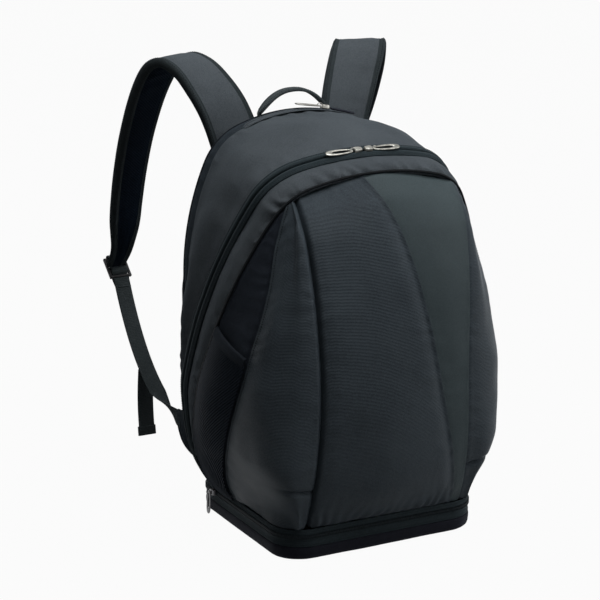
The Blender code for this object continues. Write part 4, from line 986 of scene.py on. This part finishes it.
def pull_loop(name, pivot, ahead, up, length, made):
    """Pull tab: a long loop with a teardrop slot, its rim rounded, hinged at its narrow end."""
    side = np.cross(up, ahead)
    points, faces = [], []
    section = RIM_SECTION + [(share, -high) for share, high in RIM_SECTION[::-1]]
    for a in np.linspace(0, 2 * math.pi, PULL_STEPS, endpoint=False):
        taper = PULL_NARROW + (1 - PULL_NARROW) * (1 + math.cos(a)) / 2
        far = length / 2 * (1 + math.cos(a))
        wide = PULL_HALF * taper * math.copysign(abs(math.sin(a))**0.7, math.sin(a))
        outer = np.array([far - PULL_BACK, wide])
        inner = np.array([SLOT_FROM + far * SLOT_LONG, wide * SLOT_WIDE])
        for share, high in section:
            x, y = outer + (inner - outer) * share
            points.append(pivot + ahead * x + side * y + up * (high * PULL_THICK / 2))
    count = len(section)
    for k in range(PULL_STEPS):
        near, far = k * count, (k + 1) % PULL_STEPS * count
        for i in range(count):
            j = (i + 1) % count
            faces.append([near + i, far + i, far + j, near + j])
    return piece_of(name, points, faces, (made,))


def bail(name, pivot, ahead, up, ends, made):
    """Wire arch round a pull's hinge, from one angle to another, with both ends sunk in the slider."""
    turn = np.radians(np.linspace(*ends, 22))[:, None]
    path = pivot + BAIL_RADIUS * (np.cos(turn) * ahead + np.sin(turn) * up)
    return threads(name, [path], WIRE_RADIUS, made, 8)


nickel = metal("satin_nickel", (0.15, 0.15, 0.135), (0.31, 0.305, 0.28), 0.32)
gunmetal = metal("dark_plated_metal", (0.07, 0.07, 0.075), (0.16, 0.16, 0.165), 0.34)
zip_up = np.array([0.0, -math.sin(ZIP_TILT), math.cos(ZIP_TILT)])
x_way = np.array([1.0, 0.0, 0.0])
pulls = []
for name, hand in (("left", -1), ("right", 1)):
    along = hand * x_way * math.cos(MAIN_REST) - zip_up * math.sin(MAIN_REST)
    away = hand * x_way * math.sin(MAIN_REST) + zip_up * math.cos(MAIN_REST)
    pivot = np.array(MAIN_PIVOT) * (hand, 1, 1)
    pulls.append(("main", "_" + name, pivot, along, away, PULL_LENGTH, CROWN_BAIL, nickel))
rear_along = (-math.cos(REAR_REST), 0, math.sin(REAR_REST))
rear_away = (math.sin(REAR_REST), 0, math.cos(REAR_REST))
pulls.append(("rear", "", REAR_PIVOT, rear_along, rear_away, PULL_LENGTH, CROWN_BAIL, nickel))
pulls.append(("base", "", BASE_PIVOT, BASE_PULL_WAY, BASE_PULL_OUT, BASE_PULL_LENGTH, BASE_BAIL, gunmetal))
for zip_name, side, pivot, along, away, length, ends, made in pulls:
    slider, pull = "%s_slider%s" % (zip_name, side), "%s_pull%s" % (zip_name, side)
    along, away = unit(along), unit(away)
    fit(moulded(slider + "_body", slider, SLIDER_ROUND, made), slider, "nickel", slider)
    fit(bail(slider + "_bail", np.array(pivot), along, away, ends, made), slider, "nickel")
    fit(pull_loop(pull + "_loop", np.array(pivot), along, away, length, made), pull, "nickel", pull)

# Carry handle: a band of webbing folded in three and sewn flat, caught in the back seam at both ends.
# It stands up in a low arch behind the rear zip, and folds about the line of its roots.
HANDLE_HALF, HANDLE_RISE, HANDLE_WIDTH, HANDLE_THICK = 0.046, 0.026, 0.013, 0.0040
HANDLE_ROOT = np.array([0.0, 0.1135, 0.48641])
HANDLE_STEPS, HANDLE_POWER, HANDLE_SUNK, HANDLE_STITCH = 61, 2.3, 0.0035, 0.0042
HANDLE_WIDTHS = [(0.0, 0.0035), (0.35, 0.0090), (0.65, HANDLE_WIDTH), (1.0, HANDLE_WIDTH)]
HALF_SECTION = [(-1.0, 0.0), (-0.985, 0.55), (-0.93, 0.94), (-0.8, 1.0), (-0.4, 1.0), (0.0, 1.0), (0.4, 1.0),
                (0.8, 1.0), (0.93, 0.94), (0.985, 0.55)]


def band(name, path, wide, face, widths, thick):
    """Flat band of webbing along a path, with rounded edges; wide and face are its two cross directions."""
    section = HALF_SECTION + [(-x, -y) for x, y in HALF_SECTION]
    count = len(section)
    widths = np.broadcast_to(widths, len(path))
    points = np.array([[p + w * (x * width / 2) + f * (y * thick / 2) for x, y in section]
                       for p, w, f, width in zip(path, wide, face, widths)]).reshape(-1, 3)
    far = lengths(path)
    faces, cut = [], []
    for k in range(len(path) - 1):
        for i in range(count):
            j = (i + 1) % count
            faces.append([k * count + i, (k + 1) * count + i, (k + 1) * count + j, k * count + j])
            corners = ((i, k), (i, k + 1), (j, k + 1), (j, k))
            cut += [(section[m][0] * widths[k] / 2, far[n]) for m, n in corners]
    for ring, first in ((range(count), 0), (range(count - 1, -1, -1), (len(path) - 1) * count)):
        faces.append([first + i for i in ring])
        cut += [(section[i][0] * widths[0] / 2, section[i][1] * thick / 2) for i in ring]
    return piece_of(name, points, faces, (webbing,), cut=cut)


webbing = woven("ribbed_webbing", (0.016, 0.021, 0.023), (0.068, 0.081, 0.085), 0.0012, 0.0004, rough=0.72,
                rib=1.8)
turn = np.linspace(0, math.pi, HANDLE_STEPS)
handle_x = -HANDLE_HALF * np.cos(turn)
handle_z = HANDLE_RISE * (1 - np.abs(handle_x / HANDLE_HALF)**HANDLE_POWER)
handle_path = np.stack([handle_x, np.zeros(HANDLE_STEPS), handle_z], axis=1) + HANDLE_ROOT
handle_path[[0, -1], 2] -= HANDLE_SUNK
handle_wide = np.tile((0.0, 1.0, 0.0), (HANDLE_STEPS, 1))
handle_face = np.cross(unit(np.gradient(handle_path, axis=0)), handle_wide)
handle_widths = smooth(np.sin(turn), HANDLE_WIDTHS)
fit(band("carry_handle_band", handle_path, handle_wide, handle_face, handle_widths, HANDLE_THICK),
    "carry_handle", "webbing", "carry_handle")
for shift, name in ((-HANDLE_STITCH, "front"), (HANDLE_STITCH, "back")):
    row = handle_path + handle_wide * shift + handle_face * HANDLE_THICK / 2
    fit(stitches("carry_handle_stitches_" + name, row[6:-6], handle_face[6:-6]), "carry_handle", "webbing")

# Shoulder straps: foam between a charcoal outer cloth and a dark spacer mesh, with a bound and stitched edge.
# Sewn flat to the top of the back, they rise, fold over and fall behind the pack to a narrow webbing tab.
STRAP_THICK, STRAP_STEPS, STRAP_COLUMNS = 0.010, 220, 41
STRAP_PATH = [(0.00, (0.068, 0.1243, 0.415)), (0.08, (0.073, 0.1245, 0.452)), (0.17, (0.084, 0.133, 0.490)),
              (0.24, (0.097, 0.146, 0.518)), (0.31, (0.111, 0.163, 0.540)), (0.37, (0.123, 0.184, 0.548)),
              (0.43, (0.132, 0.206, 0.537)), (0.52, (0.138, 0.233, 0.502)), (0.64, (0.141, 0.265, 0.445)),
              (0.75, (0.141, 0.290, 0.390)), (0.84, (0.141, 0.305, 0.342)), (0.91, (0.141, 0.314, 0.302)),
              (0.96, (0.141, 0.325, 0.276)), (1.00, (0.141, 0.345, 0.2525))]
STRAP_WIDTH = [(0.0, 0.060), (0.1, 0.066), (0.37, 0.066), (0.64, 0.060), (0.86, 0.050), (0.94, 0.033),
               (1.0, 0.027)]
STRAP_TURN = [(0.0, 0), (0.12, 0), (0.37, 19), (0.6, 26), (0.85, 20), (0.95, 0), (1.0, 0)]
STRAP_SWAY = [(0.0, 0.0), (0.25, 0.004), (0.37, 0.010), (0.5, 0.020), (0.65, 0.021), (0.8, 0.010),
              (0.91, 0.0), (1.0, 0.0)]
STRAP_FILL = [(0, 0.8), (0.15, 1.0), (0.85, 1.0), (0.95, 0.42), (1.0, 0.36)]
STRAP_STEP, STRAP_ROUND, STRAP_END, STITCHED_TO = 0.004, 0.0032, 0.06, 0.90
BINDING_WIDE, BINDING_PROUD, BINDING_ROLL = 0.0082, 0.0006, 0.002
BINDING_STEPS = np.array([0.0, 0.06, 0.16, 0.30, 0.46, 0.62, 0.76, 0.88, 1.0])
BINDING_STITCH, STITCH_SUNK, STITCH_WIDE = BINDING_WIDE - 0.0012, 0.0007, 0.0011
PAD_EDGE, PAD_PROUD = 0.010, 0.0009
CREST_AT, CREST_REACH = 0.37, 0.11
OUTER_CREASE, MESH_CREASE, CREST_CREASE, STRAP_CREASE_SIZE = 0.0007, 0.0005, 0.0034, 0.016


def strap_lines(hand):
    """Middle line of a strap with its two cross directions, its widths and its thickness."""
    t = np.linspace(0, 1, STRAP_STEPS)

    def middle(at):
        centre = smooth(at, STRAP_PATH)
        if hand > 0:
            centre[:, 0] += smooth(at, STRAP_SWAY)
        return centre

    ahead = unit(middle(t + STRAP_STEP) - middle(t - STRAP_STEP))
    lean = np.radians(smooth(t, STRAP_TURN))
    wide = np.stack([-np.cos(lean), np.sin(lean), np.zeros_like(lean)], axis=1)
    wide = unit(wide - ahead * np.sum(wide * ahead, axis=1, keepdims=True))
    mirror = np.array([hand, 1.0, 1.0])
    thick = STRAP_THICK * smooth(t, STRAP_FILL)
    return t, middle(t) * mirror, wide * mirror, np.cross(ahead, wide) * mirror, smooth(t, STRAP_WIDTH), thick


def strap_sheet(lines, side, seed):
    """Grid over one face of a strap, 1 for the cloth and -1 for the mesh: bound at the edge, soft between."""
    t, path, wide, face, widths, thick = lines
    half = widths[:, None] / 2
    bound_wide = np.minimum(BINDING_WIDE, 0.42 * widths)[:, None]
    bound_at = bound_wide * BINDING_STEPS
    inside = np.linspace(-1, 1, STRAP_COLUMNS - 2 * len(BINDING_STEPS) + 2)[None, 1:-1] * (half - bound_wide)
    across = np.concatenate([bound_at - half, inside, (half - bound_at)[:, ::-1]], axis=1)
    from_edge = half - np.abs(across)
    round_edge = np.sqrt(np.clip(1 - (1 - np.clip(from_edge / STRAP_ROUND, 0, 1))**2, 0, 1))
    bound = (from_edge < bound_wide + 1e-6) * np.clip(from_edge / BINDING_ROLL, 0, 1)
    sewn = np.exp(-((from_edge - BINDING_STITCH) / STITCH_WIDE)**2)
    inner = np.clip((from_edge - BINDING_WIDE) / PAD_EDGE, 0, 1)
    crest = np.exp(-((t - CREST_AT) / CREST_REACH)**2)[:, None]
    places = np.stack([across * 0.35, t[:, None] * 0.62 + 0 * across, 0 * across], axis=-1)
    depth = OUTER_CREASE if side > 0 else CREST_CREASE * crest + MESH_CREASE
    soft = inner * (PAD_PROUD + depth * crumple(places, STRAP_CREASE_SIZE, seed))
    fade = np.clip((1 - t) / STRAP_END, 0, 1)[:, None]
    lift = thick[:, None] / 2 * round_edge + (BINDING_PROUD * bound - STITCH_SUNK * sewn + soft) * fade
    out = np.broadcast_to(face[:, None] * side, (*across.shape, 3))
    return path[:, None] + across[..., None] * wide[:, None] + out * lift[..., None], out


def strap_body(name, front, rear, finishes):
    """Closed strap from its two faces, with bands of binding at both edges and the faces' own finishes."""
    rows, cols = front.shape[:2]
    points = np.concatenate([front, rear[:, -2:0:-1]], axis=1)
    count = points.shape[1]
    flat = np.stack([run(front, 1), run(front, 0)], axis=-1)
    flat = np.concatenate([flat, flat[:, -2:0:-1]], axis=1).reshape(-1, 2)
    faces, zones = [], []
    for k in range(rows - 1):
        for i in range(count):
            j = (i + 1) % count
            faces.append([k * count + i, k * count + j, (k + 1) * count + j, (k + 1) * count + i])
            column = i + 0.5 if i < cols - 1 else count - i - 0.5
            edge = min(column, cols - 1 - column)
            zones.append(2 if edge < len(BINDING_STEPS) - 1 else (0 if i < cols - 1 else 1))
    faces += [list(range(count))[::-1], list(range((rows - 1) * count, rows * count))]
    zones += [2, 2]
    cut = np.concatenate([flat[face] for face in faces])
    return piece_of(name, points.reshape(-1, 3), faces, finishes, zones, cut)


strap_mesh = woven("strap_spacer_mesh", (0.0006, 0.0018, 0.005), (0.005, 0.010, 0.019), 0.0021, 0.0006,
                   rough=0.9, specular=0.02)
binding = woven("edge_binding", (0.016, 0.021, 0.023), (0.046, 0.056, 0.060), 0.0010, 0.0003, rib=0.4)
stitched = slice(4, int(STITCHED_TO * STRAP_STEPS))
for name, hand in (("left", -1), ("right", 1)):
    lines = strap_lines(hand)
    outer, outer_out = strap_sheet(lines, 1, 21 + hand)
    inner, inner_out = strap_sheet(lines, -1, 24 + hand)
    strap = strap_body("shoulder_strap_%s_pad" % name, outer, inner, (charcoal, strap_mesh, binding))
    fit(strap, "pack", "body_fabric", "shoulder_strap_" + name)
    for grid, out, face_name in ((outer, outer_out, "outer"), (inner, inner_out, "inner")):
        for edge, edge_name in ((BINDING_STITCH, "in"), (-BINDING_STITCH, "out")):
            row, up = line_at(grid[stitched], out[stitched], 1, edge)
            fit(stitches("strap_%s_%s_stitches_%s" % (name, face_name, edge_name), row, up, length=0.0018,
                         radius=0.0007), "pack", "body_fabric")

# Lower harness: a cloth wing in each bottom corner, ribbed webbing up to a ladder lock, and its loose tail.
# The wing is two layers turned and edge-stitched; the tail's end is folded back twice and sewn.
WEB_WIDTH, WEB_THICK = 0.022, 0.0016
WING_TIP, WING_ROOT_TOP = np.array([0.141, 0.157, 0.100]), np.array([0.1425, 0.1203, 0.128])
WING_LOWER_EDGE = [(0.0, (0.1235, 0.1203, 0.048)), (0.4, (0.1345, 0.1345, 0.0595)),
                   (0.75, (0.139, 0.149, 0.072))]
WING_THICK, WING_DIP, WING_STITCH = 0.0028, 0.004, 0.004
LOCK_AT, LOCK_WAY = np.array([0.141, 0.3395, 0.2529]), unit((0, 0.75, 0.66))
LOCK_NORMAL = np.array([0.0, -LOCK_WAY[2], LOCK_WAY[1]])
LOCK_FOOT, LOCK_ROUND = -0.0176, 0.0008
WEB_SAG, WEB_TUCK, WEB_TWIST = np.array([0, 0.010, -0.030]), 0.045, 0.30
WEB_LOOP = [(-0.0178, 0.0004), (-0.0160, -0.0026), (-0.0125, -0.0016), (-0.0095, 0.0022), (-0.0055, 0.0036),
            (-0.0018, 0.0024), (-0.0012, -0.0012), (-0.0040, -0.0036), (-0.0100, -0.0046), (-0.0180, -0.0048),
            (-0.0300, -0.0040)]
STRAP_TAB = [(0.0044, 0.0020), (0.0046, -0.0030), (0.0075, -0.0062), (0.0125, -0.0052), (0.0162, -0.0010),
             (0.0162, 0.0030), (0.0125, 0.0064), (0.0096, 0.0105), (0.0082, 0.0170), (0.0078, 0.0250),
             (0.0076, 0.0320)]
STRAP_TAB_WIDTH = 0.020
TAIL_LENGTH, TAIL_FOLD, TAIL_BOW, TAIL_DROP = 0.090, 0.013, 0.004, 0.0005
TAIL_BELOW_WEB = (0, 0, 0.002)
FOLD_WIDTH, FOLD_THICK = WEB_WIDTH + 0.0024, 3 * WEB_THICK
TAIL_STITCH_HALF, TAIL_STITCH_UP, TAIL_STITCH_POINTS = 0.0095, 0.003, 20


def wing_sheet(hand):
    """Grid over a wing, from its sewn root to the webbing, and between its upper and lower edges."""
    half = np.array([0, 0, WEB_WIDTH / 2])
    share = np.linspace(0, 1, 34)
    lower = smooth(share, WING_LOWER_EDGE + [(1.0, WING_TIP - half)])
    upper = WING_ROOT_TOP + (WING_TIP + half - WING_ROOT_TOP) * share[:, None]
    upper[:, 2] -= WING_DIP * np.sin(math.pi * share)
    grid = lower + (upper - lower) * np.linspace(0, 1, 26)[:, None, None]
    grid[..., 0] += WING_THICK / 2
    return grid * (hand, 1, 1), np.broadcast_to((hand, 0.0, 0.0), grid.shape)


def hanging(name, path, width):
    """Webbing along a path that lies across the pack, with the path's cross directions."""
    wide = np.tile(x_way, (len(path), 1))
    face = unit(np.cross(np.gradient(path, axis=0), wide))
    return band(name, path, wide, face, width, WEB_THICK), face


black_plastic = plain("black_moulded_plastic", 0.5, (0.010, 0.010, 0.011), (0.022, 0.022, 0.024), 300, 3.0,
                      0.12)
relief(black_plastic, cloudy(black_plastic, 1800, 2.0), 0.00006)
for name, hand in (("left", -1), ("right", 1)):
    mirror = np.array([hand, 1.0, 1.0])
    wing, wing_out = wing_sheet(hand)
    wing = sew(wing, wing_out, (0.0005, 0.0005, 0.0004, 0.0004), width=0.003, pucker=0.0002, slack=0.0005,
               seed=30 + hand)
    # The wings take the darker band cloth in place of the charcoal, as painted shade.
    fit(cloth("strap_wing_%s_cloth" % name, wing, wing_out, WING_THICK, band_and_shaded_wing_cloth, band_and_shaded_wing_cloth), "pack",
        "body_fabric", "strap_wing_" + name)
    for edge, edge_name in ((WING_STITCH, "lower"), (-WING_STITCH, "upper")):
        row, up = line_at(wing, wing_out, 0, edge)
        fit(stitches("strap_wing_%s_stitches_%s" % (name, edge_name), row, up), "pack", "body_fabric")
    tip, end = WING_TIP + (0, 0.0006, 0), LOCK_AT + LOCK_WAY * LOCK_FOOT
    t = np.linspace(-WEB_TUCK, 1, 96)[:, None]
    web = tip + (end - tip) * t + WEB_SAG * 4 * t * (1 - t)
    ahead = unit(np.gradient(web, axis=0))
    flat_share = smooth(t[:, 0], [(0.0, 0.0), (WEB_TWIST / 2, 0.5), (WEB_TWIST, 1.0)])
    twist = math.pi / 2 * (1 - flat_share)[:, None]
    wide = (np.cos(twist) * x_way + np.sin(twist) * np.cross(x_way, ahead)) * mirror
    face = np.cross(ahead * mirror, wide)
    fit(band("lower_webbing_%s_band" % name, web * mirror, wide, face, WEB_WIDTH, WEB_THICK), "pack",
        "webbing", "lower_webbing_" + name)
    for loop_name, keys, width in (("lower_webbing_%s_loop" % name, WEB_LOOP, WEB_WIDTH),
                                   ("strap_tab_" + name, STRAP_TAB, STRAP_TAB_WIDTH)):
        local = smooth(np.linspace(0, 1, 60), [(k / (len(keys) - 1), key) for k, key in enumerate(keys)])
        loop = (LOCK_AT + local[:, :1] * LOCK_WAY + local[:, 1:] * LOCK_NORMAL) * mirror
        fit(hanging(loop_name, loop, width)[0], "pack", "webbing")
    fit(moulded("ladder_lock_%s_frame" % name, "ladder_lock_" + name, LOCK_ROUND, black_plastic), "pack",
        "buckle", "ladder_lock_" + name)
    body = "webbing_tail_" + name
    hang = ((tip + end) / 2 + WEB_SAG - TAIL_BELOW_WEB) * mirror
    down = np.linspace(0, 1, 48)
    bow = TAIL_BOW * np.sin(math.pi * down)
    tail = hang + np.stack([0 * down, bow, -TAIL_DROP - TAIL_LENGTH * down], axis=1)
    tail_band, face = hanging(body + "_band", tail, WEB_WIDTH)
    fit(tail_band, body, "webbing", body)
    fold = down > 1 - TAIL_FOLD / TAIL_LENGTH
    wide = np.tile(x_way, (fold.sum(), 1))
    fit(band(body + "_fold", tail[fold], wide, face[fold], FOLD_WIDTH, FOLD_THICK), body, "webbing")
    row_z = hang[2] - TAIL_LENGTH + TAIL_FOLD - TAIL_STITCH_UP
    row_y = np.interp(row_z, tail[::-1, 2], (tail + face * FOLD_THICK / 2)[::-1, 1])
    row = np.tile((hang[0], row_y, row_z), (TAIL_STITCH_POINTS, 1))
    row[:, 0] += np.linspace(-TAIL_STITCH_HALF, TAIL_STITCH_HALF, TAIL_STITCH_POINTS)
    fit(stitches(body + "_stitches", row, np.tile(face[-4], (TAIL_STITCH_POINTS, 1))), body, "webbing")

# Stage: a white sweep under soft studio light, seen from the left of the front and a little above.
# The floor and the room are white to the eye, and the light on the pack comes from large lamps.
CAMERA_AT = Vector((-1.284, -2.341, 1.024))
CAMERA_AZIMUTH, CAMERA_ELEVATION = math.radians(-27.8), math.radians(15.7)
CAMERA_FOCAL_PIXELS, FRAME_PIXELS = 2300, 600
FLOOR_HALF = 6.0
FLOOR_PAINT, FLOOR_GLOW = (0.14, 0.14, 0.14, 1.0), 0.96
ROOM_LIGHT = 0.07
LAMPS = [("top_lamp", (0.25, -0.4, 2.2), (0.0, 0.0, 0.3), 1.3, 38),
         ("right_lamp", (2.3, -1.0, 0.85), (0.0, 0.0, 0.3), 1.2, 18),
         ("front_lamp", (1.1, -2.4, 1.7), (0.0, 0.0, 0.3), 1.2, 6),
         ("rear_lamp", (-0.7, 2.5, 1.6), (0.0, 0.1, 0.3), 1.4, 20)]
scene = bpy.context.scene
back = Vector((math.sin(CAMERA_AZIMUTH) * math.cos(CAMERA_ELEVATION),
               -math.cos(CAMERA_AZIMUTH) * math.cos(CAMERA_ELEVATION), math.sin(CAMERA_ELEVATION)))
right = Vector((math.cos(CAMERA_AZIMUTH), math.sin(CAMERA_AZIMUTH), 0.0))
camera = bpy.data.objects.new("camera", bpy.data.cameras.new("camera"))
camera.data.sensor_fit = "HORIZONTAL"
camera.data.sensor_width = 36.0
camera.data.lens = CAMERA_FOCAL_PIXELS / FRAME_PIXELS * camera.data.sensor_width
turned = Matrix((right, back.cross(right), back)).transposed().to_4x4()
camera.matrix_world = Matrix.Translation(CAMERA_AT) @ turned
scene.collection.objects.link(camera)
scene.camera = camera

floor_mesh = bpy.data.meshes.new("floor")
floor_corners = [(x * FLOOR_HALF, y * FLOOR_HALF, 0) for x, y in ((-1, -1), (1, -1), (1, 1), (-1, 1))]
floor_mesh.from_pydata(floor_corners, [], [(0, 1, 2, 3)])
floor = bpy.data.objects.new("floor", floor_mesh)
scene.collection.objects.link(floor)


def seen(made):
    """1 for what the eye, a mirror or glass sees, 0 for light that falls on things."""
    rays = part_of(made, "LightPath").outputs
    either = calc(made, "MAXIMUM", rays["Is Camera Ray"], rays["Is Glossy Ray"])
    return calc(made, "MAXIMUM", either, rays["Is Transmission Ray"])


floor_finish = bpy.data.materials.new("white_floor")
floor_finish.use_nodes = True
floor_nodes = floor_finish.node_tree.nodes
floor_nodes.remove(floor_nodes["Principled BSDF"])
paint = part_of(floor_finish, "BsdfDiffuse", Color=FLOOR_PAINT)
glow = part_of(floor_finish, "Emission", Strength=1.0)
mixed = part_of(floor_finish, "MixShader", Fac=calc(floor_finish, "MULTIPLY", seen(floor_finish), FLOOR_GLOW))
plug(floor_finish, mixed.inputs[1], paint.outputs[0])
plug(floor_finish, mixed.inputs[2], glow.outputs[0])
plug(floor_finish, floor_nodes["Material Output"].inputs["Surface"], mixed.outputs[0])
floor_mesh.materials.append(floor_finish)

room = scene.world or bpy.data.worlds.new("room")
scene.world = room
room.use_nodes = True
for old in list(room.node_tree.nodes):
    room.node_tree.nodes.remove(old)
strength = part_of(room, "MapRange", Value=seen(room), To_Min=ROOM_LIGHT, To_Max=1.0)
sky = part_of(room, "Background", Color=(1.0, 1.0, 1.0, 1.0), Strength=strength.outputs["Result"])
part_of(room, "OutputWorld", Surface=sky.outputs[0])

for name, at, aim, size, watts in LAMPS:
    light = bpy.data.lights.new(name, "AREA")
    light.size = size
    light.energy = watts
    holder = bpy.data.objects.new(name, light)
    holder.location = at
    holder.rotation_euler = (Vector(aim) - Vector(at)).to_track_quat("-Z", "Y").to_euler()
    scene.collection.objects.link(holder)
scene.view_settings.view_transform = "Standard"
